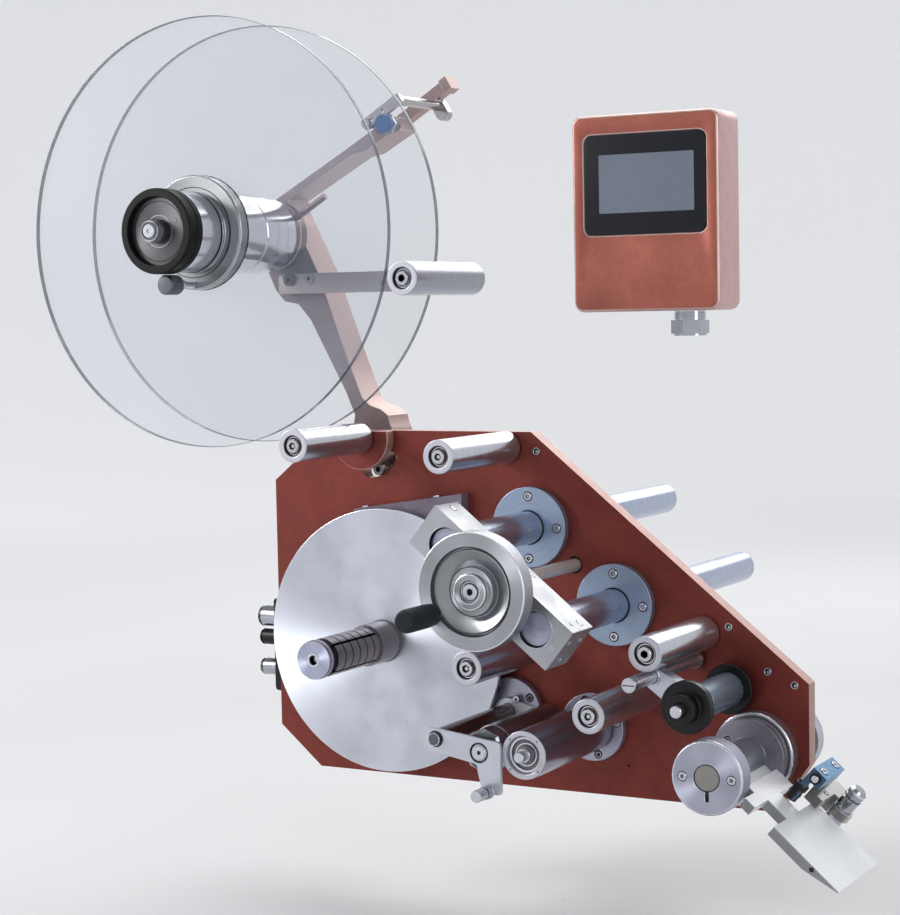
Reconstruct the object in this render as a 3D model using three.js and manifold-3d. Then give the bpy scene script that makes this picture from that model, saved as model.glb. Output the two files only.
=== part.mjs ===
// Label dispensing head, in millimetres, +Z up. One upright plate faces -Y and carries the web path:
// an unwind reel on a leaning arm, idle rollers, a driven roller with its nip lever, a rewinder,
// a guide spool and a peel plate with its label sensor. A handwheel and screw move the plate along
// two guide shafts. The operator terminal stands beside it.
// The origin is the rear end face of the upper guide shaft, on its axis.
// Inside the machine group, y = 0 is the front face of the main plate.
import * as THREE from "three";
import { mergeVertices } from "three/addons/utils/BufferGeometryUtils.js";
import Module from "manifold-3d";

// Clearances, overrun and welding distance
const seatGap = 0.3;
const runGap = 0.3;
const overrun = 1;
const weldGap = 0.0001;

// Facets round a circle
const reelFacets = 48;
const wheelFacets = 32;
const roundFacets = 20;
const smallFacets = 12;
const curveSteps = 3;

// Guide shafts
const shaftRadius = 15;
const shaftSpan = 84;
const shaftDrop = 67.2;
const shaftBehind = 300;
const shaftRecess = 3;
const shaftChamfer = 1.5;

// End bracket
const bracketFront = 163.5;
const bracketDepth = 38;
const bracketLength = 164;
const bracketWidth = 42;
const bracketChamfer = 1.2;

// Lead screw and nut
const leadRadius = 6;
const leadBehind = 70;
const leadCollarRadius = 10;
const leadCollarLength = 6;
const nutFlangeRadius = 19;
const nutFlangeThick = 6;
const nutBarrelRadius = 13;
const nutLength = 28;
const leadHoleRadius = 8;

// Handwheel and crank knob
const wheelRadius = 50;
const wheelFront = 197.5;
const wheelThick = 17;
const wheelRimWidth = 13;
const wheelGroove = 2;
const wheelGrooveDepth = 3;
const wheelDishDepth = 7;
const wheelHubRadius = 21;
const wheelHubBackRadius = 16;
const wheelHubRecessRadius = 9.2;
const wheelHubRecess = 4;
const wheelBossRadius = 15.2;
const wheelBossProud = 2;
const wheelBossFoot = 2.5;
const wheelChamfer = 1.2;
const crankThrow = 40;
const crankAngle = Math.PI * (7 / 6);
const crankPinRadius = 4;
const crankKnobRadius = 10;
const crankKnobLength = 48;
const crankKnobGap = 1.5;
const crankKnobEnd = 8;

// Main plate
const plateThick = 15;
const plateLeft = 280;
const plateRight = 263;
const plateTop = 86.5;
const plateBottom = 241.5;
const slopeFoot = 127.5;
const topCutWide = 61;
const topCutHigh = 49.5;
const leftCutWide = 45;
const leftCutHigh = 38;
const rightCutWide = 29;
const rightCutHigh = 44;

// Flanged bushes and bearings
const flangeThick = 8;
const flangeChamfer = 1;
const bushFlangeRadius = 37;
const bushBarrelRadius = 22;
const bushBehind = 30;
const bearingFlangeRadius = 31;
const bearingBarrelRadius = 16;
const bearingBehind = 7;

// Idle rollers and their axles
const rollerRadius = 15;
const rollerFront = 128;
const rollerGap = 1.5;
const rollerChamfer = 1;
const rollerMouthRadius = 9;
const rollerMouthDepth = 4;
const axleRadius = 5;
const axleHeadRadius = 6.5;
const axleHeadLength = 3;
const topMiddleX = -25.2;
const topMiddleZ = 72.1;
const rightX = 167;
const rightZ = -88.1;
const lowerX = 114.3;
const lowerZ = -144.2;
const middleX = -1.6;
const middleZ = -111.1;

// Arm pivot
const pivotX = -175;
const pivotZ = 79.5;
const bossRadius = 30;
const bossThick = 12;
const pivotPinRadius = 5;
const pivotWasherRadius = 13;
const pivotWasherThick = 4;
const lockRadius = 33;
const lockSlotHalf = 5.5;
const lockPinRadius = 4;
const lockTailRadius = 10;
const lockPinLength = 11;
const lockFrom = THREE.MathUtils.degToRad(-88);
const lockTo = THREE.MathUtils.degToRad(-34);
const lockAngle = THREE.MathUtils.degToRad(-64);

// Unwinder arm
const armLean = THREE.MathUtils.degToRad(28.1);
const reelGap = 7.6;
const armDepth = 37;
const armEyeRadius = 21;
const armHubRadius = 23;

// Bar and roller that the first stretch of web runs over
const barHigh = 19.5;
const barThick = 11.7;
const barDrop = 47;
const barStart = 6;
const dancerGap = 6;
const dancerFront = 124;

// Reel
const reelRadius = 198;
const reelDiscThick = 5;
const rearDiscFront = 24.5;
const reelWidth = 81;
const mandrelRadius = 36.6;
const mandrelBack = 8;
const mandrelFront = 184;
const mandrelGroove = 1.2;
const mandrelGrooveWide = 2.5;
const spindleRadius = 10;
const spindleFront = 186;
const spindleBoltRadius = 6.5;
const spindleBoltLength = 7;
const ringProud = 1.8;
const ringWide = 20;
const ringStep = 3;
const ringLip = 8.4;
const endPlateDepth = 6;
const clampWide = 15.9;
const clampThick = 14;
const clampGap = 2;
const clampSpigotWide = 6.4;
const clampKnobRadius = 9;
const clampKnobLength = 20;
const clampKnobGap = 0.4;
const clampKnobFront = 172;
const clampStemRadius = 3;
const collarRadius = 33;
const collarFront = 7;
const collarBack = 14.4;
const studRadius = 3.2;
const studLength = 38;
const studAngle = THREE.MathUtils.degToRad(30);

// Feeler frame and diameter sensor at the arm's tip
const feelerBarSize = 12;
const feelerBarBack = 98;
const feelerBarLeft = 20;
const feelerBarRight = 60;
const feelerBarLift = 23;
const feelerFootThick = 6;
const feelerFootDrop = 5;
const feelerBlockWide = 9;
const feelerBlockHigh = 14;
const feelerRodRadius = 4.6;
const feelerRodRight = 36.8;
const feelerRodLift = 10;
const feelerPlateThick = 5;
const feelerPlateLeft = 6;
const feelerPlateRight = 41.5;
const feelerPlateHigh = 10;
const feelerPlateLift = 10;
const feelerPlateHoleRadius = 1.8;
const feelerPlateHoles = [5, 19];
const feelerBossRadius = 4.5;
const feelerLinkRadius = 6.5;
const feelerLinkDrop = 9;
const feelerLinkThick = 9;
const eyeSensorRadius = 10.5;
const eyeSensorLength = 24;
const eyeSensorRight = 18.9;
const eyeSensorDrop = 5.5;
const eyeLugLong = 24;
const eyeLugHigh = 10;
const eyeLugThick = 4;

// Rewinder
const rewindLean = THREE.MathUtils.degToRad(154.03);
const rewindGap = 5.75;
const rewindDiscRadius = 124.4;
const rewindDiscFront = 24;
const rewindDiscThick = 4;
const rewindHubRadius = 18;
const rewindShaftRadius = 8;
const rewindCollarRadius = 19.6;
const rewindCollarFront = 57;
const rewindBodyRadius = 17.6;
const rewindBodyFront = 131;
const rewindNeckRadius = 13;
const rewindNeckLength = 8;
const rewindCapThick = 7;
const rewindCapHoleRadius = 4.5;
const rewindGrooves = 5;
const rewindGrooveWide = 1.6;
const rewindGrooveDeep = 1.1;
const rewindSlots = 4;
const rewindSlotWide = 2.4;
const rewindSlotDeep = 5;
const rewindBehind = 42;
const rewindFlangeRadius = 34;
const rewindBarrelRadius = 20;
const coverLeft = 183;
const coverRight = 66;
const coverTop = 19;
const coverHigh = 60;
const coverDeep = 14;

// Drive roller, motor and belt
const driveX = 60.7;
const driveZ = -178.9;
const driveRadius = 21;
const driveFront = 143;
const driveBack = 12;
const driveMouthRadius = 15.5;
const driveMouthDepth = 9;
const driveShaftRadius = 8;
const driveStubRadius = 10;
const motorSize = 80;
const motorCorner = 9;
const motorLength = 80;
const motorBack = 46;
const motorBossRadius = 19;
const motorBossThick = 3;
const motorEntry = 18;
const motorWaist = 2;
const motorCapLong = 13;
const standoffRadius = 5;
const pulleyWide = 12;
const pulleyBack = 38;
const beltThick = 3.5;
const beltWide = 5;
const pulleyLip = 3;
const drivePulleyRadius = 12;
const rewindPulleyRadius = 25;

// Nip lever
const nipX = -22.4;
const nipZ = -170.5;
const nipShaftRadius = 8;
const nipPlateThick = 3.5;
const nipPlateFront = 147;
const nipEyeRadius = 10;
const nipCorner = 3;
const nipRearFront = 13;
const nipScrewRadius = 5.7;
const nipScrewNeckRadius = 4;
const nipScrewHead = 3;
const nipWindowRadius = 8.6;
const nipWindowDepth = 2;
const pressureX = 19.8;
const pressureZ = -179.2;
const pressureAxleRadius = 6;
const pressureEndGap = 1;
const pullPinX = 28;
const pullPinZ = -212;
const pullPinRadius = 5.3;
const pullPinLength = 22;
const nipRight = 40.5;
const nipFoot = 214.5;

// Press arm and guide spool
const rodX = 160;
const rodZ = -112;
const rodRadius = 6.3;
const rodTip = 146;
const rodCollarRadius = 9;
const rodCollarLength = 6;
const pressFront = 100;
const pressThick = 14;
const pressEyeRadius = 8.8;
const spoolX = 195;
const spoolZ = -134;
const spoolEyeRadius = 12;
const spoolShaftRadius = 5;
const spoolShaftFront = 131;
const spoolRadius = 15;
const spoolFlangeRadius = 22.5;
const spoolRearFlangeRadius = 22;
const spoolFlangeThick = 6;
const spoolBack = 10;
const spoolKnobFront = 110;
const spoolKnobHubRadius = 13;
const spoolKnobHubLength = 12;

// Peel head
const peelX = 216.5;
const peelZ = -189.5;
const peelSlope = THREE.MathUtils.degToRad(41.4);
const peelFront = 118;
const peelClampThick = 20;
const peelClampRadius = 31.6;
const peelClampChamfer = 1.2;
const peelCoreRadius = 11;
const peelTubeRadius = 17;
const peelKeyWide = 3.4;
const peelKeyDeep = 9;
const peelDiscRadius = 33.5;
const peelDiscThick = 12;
const peelSocketRadius = 37;
const peelSocketFront = 15;
const peelShaftRadius = 12;
const peelShaftBehind = 76;
const peelWheelRadius = 33;
const peelWheelThick = 14;
const peelTop = 12.5;
const peelThick = 9;
const tabStart = 25;
const tabEnd = 45;
const peelStart = 66;
const peelEnd = 139;
const peelTaper = 34;
const peelNose = 1.2;
const peelBack = 20;
const neckFront = 88;
const neckBack = 59;
const saddleThick = 4;

// Label sensor on the peel plate
const sensorStart = 51;
const sensorWide = 15;
const sensorTop = 50.5;
const sensorHigh = 12;
const sensorFront = 60;
const sensorBack = 14;
const sensorLegWide = 6;
const sensorLegLong = 8;
const sensorFoot = 3;
const footStart = 62;
const footWide = 10;
const footFront = 31;
const footHigh = 9.5;
const heelLong = 25;
const heelProud = 5;
const heelDrop = 8;
const riserWide = 8;
const riserLong = 12;
const eyeWide = 3;
const postX = 84;
const postBehind = 14;
const postRadius = 8;
const postHigh = 23.5;
const postDrop = 20.5;
const postChamfer = 2.2;

// Junction box
const boxLeft = 297;
const boxWide = 62;
const boxHigh = 92;
const boxMiddle = -128;
const boxDeep = 55;
const boxCorner = 4;
const plugLength = 26;
const plugY = 20;
const plugRadii = [10, 7.5, 8];
const plugLifts = [25, 4, -26];

// Operator terminal
const terminalX = 115.5;
const terminalZ = 281;
const terminalWide = 140;
const terminalHigh = 174;
const terminalDeep = 48;
const terminalCorner = 8;
const panelWide = 116;
const panelHigh = 88;
const panelCorner = 6;
const panelThick = 3;
const panelProud = 1.2;
const panelLift = 25;
const glandX = 32;
const glandRadius = 13.5;
const glandCollar = 8;
const glandNutRadius = 17;
const glandNutHigh = 12;
const glandBoreRadius = 7;

// Colours
const colours = {
  anodised: { color: 0x7d3730, roughness: 0.45, metalness: 0.6 },
  arm: { color: 0x8b7a7c, roughness: 0.45, metalness: 0.6 },
  steel: { color: 0xb9bcc4, roughness: 0.3, metalness: 0.9 },
  blued: { color: 0x74849a, roughness: 0.35, metalness: 0.85 },
  pale: { color: 0xcfd1d4, roughness: 0.5, metalness: 0.6 },
  chrome: { color: 0xd6dae0, roughness: 0.15, metalness: 1 },
  black: { color: 0x17181b, roughness: 0.6, metalness: 0 },
  clear: { color: 0xdfe7f0, roughness: 0.1, metalness: 0 },
  brown: { color: 0x4a3a38, roughness: 0.4, metalness: 0.7 },
  blue: { color: 0x2c74ad, roughness: 0.4, metalness: 0 },
  terminal: { color: 0xa05a4b, roughness: 0.5, metalness: 0.5 },
  panel: { color: 0x32373f, roughness: 0.3, metalness: 0 },
};

const wasm = await Module();
wasm.setup();

// Solids from geometry and back
function solidFrom(positions, triangles) {
  return new wasm.Manifold(
    new wasm.Mesh({ numProp: 3, vertProperties: positions, triVerts: triangles }),
  );
}

function solidOf(geometry) {
  const plain = geometry.index ? geometry.toNonIndexed() : geometry.clone();
  plain.deleteAttribute("normal");
  plain.deleteAttribute("uv");
  const welded = mergeVertices(plain, weldGap);
  const positions = welded.attributes.position.array;
  const triangles = new Uint32Array(welded.index.array);
  const solid = solidFrom(positions, triangles);
  return solid.volume() < 0 ? solidFrom(positions, triangles.toReversed()) : solid;
}

function geometryOf(solid) {
  const { vertProperties, triVerts } = solid.getMesh();
  return new THREE.BufferGeometry()
    .setAttribute("position", new THREE.BufferAttribute(new Float32Array(vertProperties), 3))
    .setIndex(new THREE.BufferAttribute(new Uint32Array(triVerts), 1));
}

function join(...pieces) {
  return geometryOf(pieces.map(solidOf).reduce((whole, piece) => whole.add(piece)));
}

function cut(piece, ...tools) {
  return geometryOf(tools.map(solidOf).reduce((rest, tool) => rest.subtract(tool), solidOf(piece)));
}

// Forms
function turned(profile, facets = roundFacets) {
  const points = profile.map(([radius, y]) => new THREE.Vector2(radius, y));
  const open = points[0].x > 0 || points.at(-1).x > 0;
  if (open) points.push(points[0].clone());
  return geometryOf(solidOf(new THREE.LatheGeometry(points, facets)));
}

function rod(radius, from, to, facets = roundFacets) {
  return turned([[0, from], [radius, from], [radius, to], [0, to]], facets);
}

function sleeve(outer, inner, from, to, facets = roundFacets) {
  return turned([[inner, from], [outer, from], [outer, to], [inner, to]], facets);
}

// A disc with broken edges and, where it is given, a bore
function disc(radius, bore, from, to, chamfer, facets = roundFacets) {
  return turned(
    [
      [bore, from],
      [radius - chamfer, from],
      [radius, from + chamfer],
      [radius, to - chamfer],
      [radius - chamfer, to],
      [bore, to],
    ],
    facets,
  );
}

// The points of an outline, without those that repeat
function pointsOf(path) {
  const points = path.getPoints(curveSteps);
  return points.filter((point, i) => point.distanceTo(points.at(i - 1)) > weldGap);
}

// An outline in x and z, extruded along y
function slab(outline, from, to) {
  const shape = new THREE.Shape(pointsOf(outline));
  shape.holes = outline.holes.map((hole) => new THREE.Path(pointsOf(hole)));
  return new THREE.ExtrudeGeometry(shape, { depth: to - from, bevelEnabled: false })
    .rotateX(Math.PI / 2)
    .translate(0, to, 0);
}

function block(x, y, z) {
  return new THREE.BoxGeometry(x[1] - x[0], y[1] - y[0], z[1] - z[0]).translate(
    (x[0] + x[1]) / 2,
    (y[0] + y[1]) / 2,
    (z[0] + z[1]) / 2,
  );
}

function polygon(points) {
  return new THREE.Shape(points.map(([x, z]) => new THREE.Vector2(x, z)));
}

function arc(x, z, radius, from, to, steps = roundFacets / 2) {
  const points = [];
  for (let i = 0; i <= steps; i++) {
    const angle = THREE.MathUtils.lerp(from, to, i / steps);
    points.push(new THREE.Vector2(x + radius * Math.cos(angle), z + radius * Math.sin(angle)));
  }
  return points;
}

function roundHole(x, z, radius, facets = roundFacets) {
  return new THREE.Path(arc(x, z, radius, 0, 2 * Math.PI, facets));
}

// A polygon whose corners are rounded by the same radius
function roundedPolygon(points, radius) {
  const outline = new THREE.Shape();
  points.forEach((corner, i) => {
    const here = new THREE.Vector2(...corner);
    const before = new THREE.Vector2(...points.at(i - 1)).sub(here).setLength(radius).add(here);
    const after = new THREE.Vector2(...points[(i + 1) % points.length]).sub(here).setLength(radius).add(here);
    if (i === 0) outline.moveTo(before.x, before.y);
    else outline.lineTo(before.x, before.y);
    outline.quadraticCurveTo(here.x, here.y, after.x, after.y);
  });
  outline.closePath();
  return outline;
}

function roundedRectangle(wide, high, radius) {
  const x = wide / 2;
  const z = high / 2;
  return roundedPolygon([[-x, -z], [x, -z], [x, z], [-x, z]], radius);
}

// The outer tangents and arcs round two circles, the first at the origin
function loop(x, z, radius, farRadius, steps = roundFacets / 2) {
  const heading = Math.atan2(z, x);
  const spread = Math.acos((radius - farRadius) / Math.hypot(x, z));
  return new THREE.Shape([
    ...arc(0, 0, radius, heading + spread, heading - spread + 2 * Math.PI, steps),
    ...arc(x, z, farRadius, heading - spread, heading + spread, steps),
  ]);
}

function named(name, geometry, look, x = 0, z = 0) {
  const mesh = new THREE.Mesh(geometry, new THREE.MeshStandardMaterial(colours[look]));
  mesh.name = name;
  mesh.position.set(x, 0, z);
  return mesh;
}

// Guide shafts, end bracket and terminal: what the carriage slides on
const leadX = shaftSpan / 2;
const leadZ = -shaftDrop / 2;
const bracketBack = bracketFront - bracketDepth;
const shaftPitch = Math.hypot(shaftSpan, shaftDrop);
const bracketTilt = Math.atan2(shaftDrop, shaftSpan);

function guideShaft() {
  return disc(shaftRadius, 0, shaftRecess - bracketFront, shaftBehind, shaftChamfer);
}

function endBracket() {
  const outline = roundedRectangle(bracketLength, bracketWidth, bracketChamfer);
  outline.holes.push(
    roundHole(-shaftPitch / 2, 0, shaftRadius + seatGap),
    roundHole(shaftPitch / 2, 0, shaftRadius + seatGap),
    roundHole(0, 0, leadRadius + runGap),
  );
  return slab(outline, -bracketFront, -bracketBack);
}

function guideFrame() {
  const bracket = named("end_bracket", endBracket(), "pale", leadX, leadZ);
  bracket.rotation.y = bracketTilt;
  return [
    named("guide_shaft_upper", guideShaft(), "steel"),
    named("guide_shaft_lower", guideShaft(), "steel", shaftSpan, -shaftDrop),
    bracket,
  ];
}

function terminalHousing() {
  const shell = slab(roundedRectangle(terminalWide, terminalHigh, terminalCorner), 0, terminalDeep);
  const pocket = slab(
    roundedRectangle(panelWide + 2 * seatGap, panelHigh + 2 * seatGap, panelCorner),
    -overrun,
    panelThick - panelProud + seatGap,
  ).translate(0, 0, panelLift);
  return cut(shell, pocket);
}

function terminalPanel() {
  const outline = roundedRectangle(panelWide, panelHigh, panelCorner);
  return slab(outline, -panelProud, panelThick - panelProud).translate(0, 0, panelLift);
}

function cableGland() {
  const neck = sleeve(glandRadius, glandBoreRadius, 0, glandCollar);
  const nut = cut(
    rod(glandNutRadius, glandCollar, glandCollar + glandNutHigh, 6),
    rod(glandBoreRadius, glandCollar - overrun, glandCollar + glandNutHigh + overrun),
  );
  return join(neck, nut)
    .rotateX(-Math.PI / 2)
    .translate(glandX, terminalDeep / 2, -terminalHigh / 2 - seatGap);
}

function terminal() {
  return [
    named("terminal_housing", terminalHousing(), "terminal", terminalX, terminalZ),
    named("terminal_panel", terminalPanel(), "panel", terminalX, terminalZ),
    named("terminal_gland", cableGland(), "chrome", terminalX, terminalZ),
  ];
}

// Lead screw, handwheel and crank knob
const hubMouthFloor = wheelHubRecess - wheelFront;
const wheelHubBack = -bracketFront - seatGap;
const leadCollarBack = -bracketBack + seatGap + leadCollarLength;

function leadScrew() {
  return turned([
    [0, hubMouthFloor],
    [leadRadius, hubMouthFloor],
    [leadRadius, leadCollarBack - leadCollarLength],
    [leadCollarRadius, leadCollarBack - leadCollarLength],
    [leadCollarRadius, leadCollarBack],
    [leadRadius, leadCollarBack],
    [leadRadius, leadBehind],
    [0, leadBehind],
  ]);
}

function handwheel() {
  const rim = wheelRadius - wheelRimWidth;
  const back = wheelThick - wheelFront;
  const dishStart = wheelGroove - wheelFront;
  const bossFront = -wheelFront - wheelBossProud;
  const hubFront = wheelBossFoot - wheelFront;
  const wheel = turned(
    [
      [leadRadius + seatGap, hubMouthFloor],
      [wheelHubRecessRadius, hubMouthFloor],
      [wheelHubRecessRadius, bossFront],
      [wheelBossRadius - wheelChamfer, bossFront],
      [wheelBossRadius, wheelChamfer + bossFront],
      [wheelBossRadius, hubFront],
      [wheelHubRadius, hubFront],
      [wheelHubRadius, dishStart + wheelDishDepth],
      [rim - wheelGroove, dishStart],
      [rim - wheelGroove, wheelGrooveDepth + dishStart],
      [rim, wheelGrooveDepth + dishStart],
      [rim, -wheelFront],
      [wheelRadius - wheelChamfer, -wheelFront],
      [wheelRadius, wheelChamfer - wheelFront],
      [wheelRadius, back - wheelChamfer],
      [wheelRadius - wheelChamfer, back],
      [wheelHubBackRadius, back],
      [wheelHubBackRadius, wheelHubBack],
      [leadRadius + seatGap, wheelHubBack],
    ],
    wheelFacets,
  );
  const pinEnd = crankKnobEnd - wheelFront - crankKnobGap - crankKnobLength;
  const pin = rod(crankPinRadius, pinEnd, back - wheelChamfer, smallFacets);
  return join(
    wheel,
    pin.translate(crankThrow * Math.cos(crankAngle), 0, crankThrow * Math.sin(crankAngle)),
  );
}

function crankKnob() {
  const back = -wheelFront - crankKnobGap;
  const front = back - crankKnobLength;
  const bore = crankPinRadius + runGap;
  return turned([
    [0, front],
    [crankKnobRadius - wheelChamfer, front],
    [crankKnobRadius, front + wheelChamfer],
    [crankKnobRadius, back - wheelChamfer],
    [crankKnobRadius - wheelChamfer, back],
    [bore, back],
    [bore, front + crankKnobEnd - runGap],
    [0, front + crankKnobEnd - runGap],
  ]);
}

function leadDrive() {
  const x = leadX + crankThrow * Math.cos(crankAngle);
  const z = leadZ + crankThrow * Math.sin(crankAngle);
  return [
    named("lead_screw", leadScrew(), "steel", leadX, leadZ),
    named("handwheel", handwheel(), "steel", leadX, leadZ),
    named("crank_knob", crankKnob(), "black", x, z),
  ];
}

// Main plate with the axles of its idle rollers
const idleRollers = {
  roller_top_middle: [topMiddleX, topMiddleZ],
  roller_right: [rightX, rightZ],
  roller_lower: [lowerX, lowerZ],
  roller_middle: [middleX, middleZ],
};

function axle(from, front) {
  const floor = rollerMouthDepth - front;
  const headBack = floor - seatGap;
  return turned(
    [
      [0, headBack - axleHeadLength],
      [axleHeadRadius, headBack - axleHeadLength],
      [axleHeadRadius, headBack],
      [axleRadius, headBack],
      [axleRadius, from],
      [0, from],
    ],
    smallFacets,
  );
}

function lockSlot() {
  const place = (angle) => [pivotX + lockRadius * Math.cos(angle), pivotZ + lockRadius * Math.sin(angle)];
  const [fromX, fromZ] = place(lockFrom);
  const [toX, toZ] = place(lockTo);
  return new THREE.Path([
    ...arc(pivotX, pivotZ, lockRadius + lockSlotHalf, lockFrom, lockTo),
    ...arc(toX, toZ, lockSlotHalf, lockTo, lockTo + Math.PI),
    ...arc(pivotX, pivotZ, lockRadius - lockSlotHalf, lockTo, lockFrom),
    ...arc(fromX, fromZ, lockSlotHalf, lockFrom + Math.PI, lockFrom + 2 * Math.PI),
  ]);
}

// The rewinder's axis keeps its disc clear of the nip shaft
const rewindAway = rewindDiscRadius + nipShaftRadius + rewindGap;
const rewindX = nipX + rewindAway * Math.cos(rewindLean);
const rewindZ = nipZ + rewindAway * Math.sin(rewindLean);

function mainPlate() {
  const outline = polygon([
    [-plateLeft, -plateBottom + leftCutHigh],
    [-plateLeft, plateTop - topCutHigh],
    [-plateLeft + topCutWide, plateTop],
    [0, plateTop],
    [plateRight, -slopeFoot],
    [plateRight, -plateBottom + rightCutHigh],
    [plateRight - rightCutWide, -plateBottom],
    [-plateLeft + leftCutWide, -plateBottom],
  ]);
  outline.holes.push(
    roundHole(0, 0, bushBarrelRadius + seatGap, wheelFacets),
    roundHole(shaftSpan, -shaftDrop, bushBarrelRadius + seatGap, wheelFacets),
    roundHole(leadX, leadZ, leadHoleRadius),
    roundHole(pivotX, pivotZ, pivotPinRadius + seatGap),
    roundHole(driveX, driveZ, bearingBarrelRadius + seatGap, wheelFacets),
    roundHole(nipX, nipZ, bearingBarrelRadius + seatGap, wheelFacets),
    roundHole(rewindX, rewindZ, rewindBarrelRadius + seatGap, wheelFacets),
    roundHole(peelX, peelZ, peelShaftRadius + runGap),
    lockSlot(),
  );
  const seat = plateThick / 2;
  const axles = Object.values(idleRollers).map(([x, z]) => axle(seat, rollerFront).translate(x, 0, z));
  return join(slab(outline, 0, plateThick), ...axles);
}

function idleRoller(front, back) {
  const bore = axleRadius + runGap;
  return turned([
    [bore, rollerMouthDepth - front],
    [rollerMouthRadius, rollerMouthDepth - front],
    [rollerMouthRadius, -front],
    [rollerRadius - rollerChamfer, -front],
    [rollerRadius, rollerChamfer - front],
    [rollerRadius, -back - rollerChamfer],
    [rollerRadius - rollerChamfer, -back],
    [bore, -back],
  ]);
}

// A bearing flange in front of the plate with its barrel through the plate
function flangedBearing(flangeRadius, barrelRadius, bore, behind) {
  const back = plateThick + behind;
  return turned(
    [
      [bore, -flangeThick - seatGap],
      [flangeRadius - flangeChamfer, -flangeThick - seatGap],
      [flangeRadius, flangeChamfer - flangeThick - seatGap],
      [flangeRadius, -seatGap],
      [barrelRadius, -seatGap],
      [barrelRadius, back],
      [bore, back],
    ],
    wheelFacets,
  );
}

function leadNut() {
  const front = plateThick + seatGap;
  return turned([
    [leadRadius + runGap, front],
    [nutFlangeRadius, front],
    [nutFlangeRadius, front + nutFlangeThick],
    [nutBarrelRadius, front + nutFlangeThick],
    [nutBarrelRadius, front + nutLength],
    [leadRadius + runGap, front + nutLength],
  ]);
}

// What the reel leads to: the arm and its bar hold both nearest rollers clear of the discs
const armReach = reelRadius + rollerRadius + reelGap;
const dancerReach = reelRadius + rollerRadius + dancerGap;
const dancerBack = barThick - plateThick + rollerGap;
const ringRadius = mandrelRadius + ringProud;
const endPlateRadius = ringRadius - ringLip;
const clampRadius = mandrelRadius + clampWide;
const clampSpigotRadius = mandrelRadius + clampSpigotWide;
const clampKnobReach = ringRadius + clampKnobRadius + clampKnobGap;

// Boss with its flat level with the plate's top edge, the arm's pin behind it and an axle before it
function pivotBoss() {
  const flat = plateTop - pivotZ;
  const half = Math.asin(flat / bossRadius);
  const face = new THREE.Shape(arc(0, 0, bossRadius, Math.PI - half, half + 2 * Math.PI, roundFacets));
  const armBack = plateThick + seatGap + armDepth;
  const pin = rod(pivotPinRadius, -bossThick / 2, armBack + seatGap + pivotWasherThick);
  const washer = rod(pivotWasherRadius, armBack + seatGap, armBack + seatGap + pivotWasherThick);
  return join(slab(face, -bossThick, -seatGap), pin, washer, axle(-bossThick / 2, rollerFront));
}

// Arm: a shape in the frame of its pivot, with the hub straight above at the arm's reach
const armRightShares = [[0, 0.092], [0.05, 0.104], [0.09, 0.085], [0.13, 0.045], [0.18, 0.026], [0.36, 0.044]];
const armHubShares = [[0.76, 0.097], [1.08, 0.104]];
const armTipShares = [[1.112, 0.12], [1.112, 0.5], [1.092, 0.56], [1.092, 0.745], [1.155, 0.75], [1.15, 0.04]];
const armLobeShares = [[0.9, -0.13], [0.8, -0.135], [0.735, -0.118], [0.69, -0.062], [0.6, -0.04]];
const armLeftShares = [[0.24, -0.036], [0.13, -0.045], [0.07, -0.092]];

function unwinderArm() {
  const front = plateThick + seatGap;
  const back = front + armDepth;
  const spot = ([along, across]) => [across * armReach, along * armReach];
  const shares = [armRightShares, armHubShares, armTipShares, armLobeShares, armLeftShares];
  const body = polygon(shares.flat().map(spot));
  const pinAngle = lockAngle - armLean;
  const pinX = lockRadius * Math.cos(pinAngle);
  const pinZ = lockRadius * Math.sin(pinAngle);
  const whole = join(
    slab(body, front, back),
    slab(loop(pinX, pinZ, armEyeRadius, lockTailRadius), front, back),
    rod(armHubRadius, front, back).translate(0, 0, armReach),
  );
  const drilled = cut(whole, rod(pivotPinRadius + runGap, front - overrun, back + overrun));
  const pin = rod(lockPinRadius, front - lockPinLength, back - overrun, smallFacets);
  const lockPin = pin.translate(pinX, 0, pinZ);
  const spindle = rod(spindleRadius, -spindleFront, front + overrun).translate(0, 0, armReach);
  const bolt = rod(spindleBoltRadius, -spindleFront - spindleBoltLength, -spindleFront, smallFacets);
  return join(drilled, lockPin, spindle, bolt.translate(0, 0, armReach));
}

// Flat bar across the arm with the axle of its roller
function dancerBar() {
  const back = plateThick;
  const right = dancerReach + barHigh / 2;
  const bar = block([barStart, right], [back - barThick, back], [-barHigh / 2, barHigh / 2]);
  return join(bar, axle(back - barThick / 2, dancerFront).translate(dancerReach, 0, 0));
}

// Reel: mandrel with its grip ring, two clear discs and the clamp of the front disc
const rearDiscBack = -rearDiscFront + reelDiscThick;
const frontDiscBack = -rearDiscFront - reelWidth;
const clampBack = frontDiscBack - reelDiscThick - clampGap;

function reelMandrel() {
  const bore = spindleRadius + runGap;
  const ringBack = ringWide - mandrelFront;
  const step = -rearDiscFront - mandrelGrooveWide;
  const ringFloor = ringRadius - ringStep;
  return turned(
    [
      [bore, endPlateDepth - mandrelFront],
      [ringFloor, endPlateDepth - mandrelFront],
      [ringFloor, ringBack],
      [mandrelRadius, ringBack],
      [mandrelRadius, clampBack - clampThick - mandrelGrooveWide],
      [mandrelRadius - mandrelGroove, clampBack - clampThick - mandrelGrooveWide],
      [mandrelRadius - mandrelGroove, clampBack - clampThick],
      [mandrelRadius, clampBack - clampThick],
      [mandrelRadius, step - mandrelGrooveWide],
      [mandrelRadius - mandrelGroove, step - mandrelGrooveWide],
      [mandrelRadius - mandrelGroove, -mandrelBack],
      [bore, -mandrelBack],
    ],
    wheelFacets,
  );
}

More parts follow.
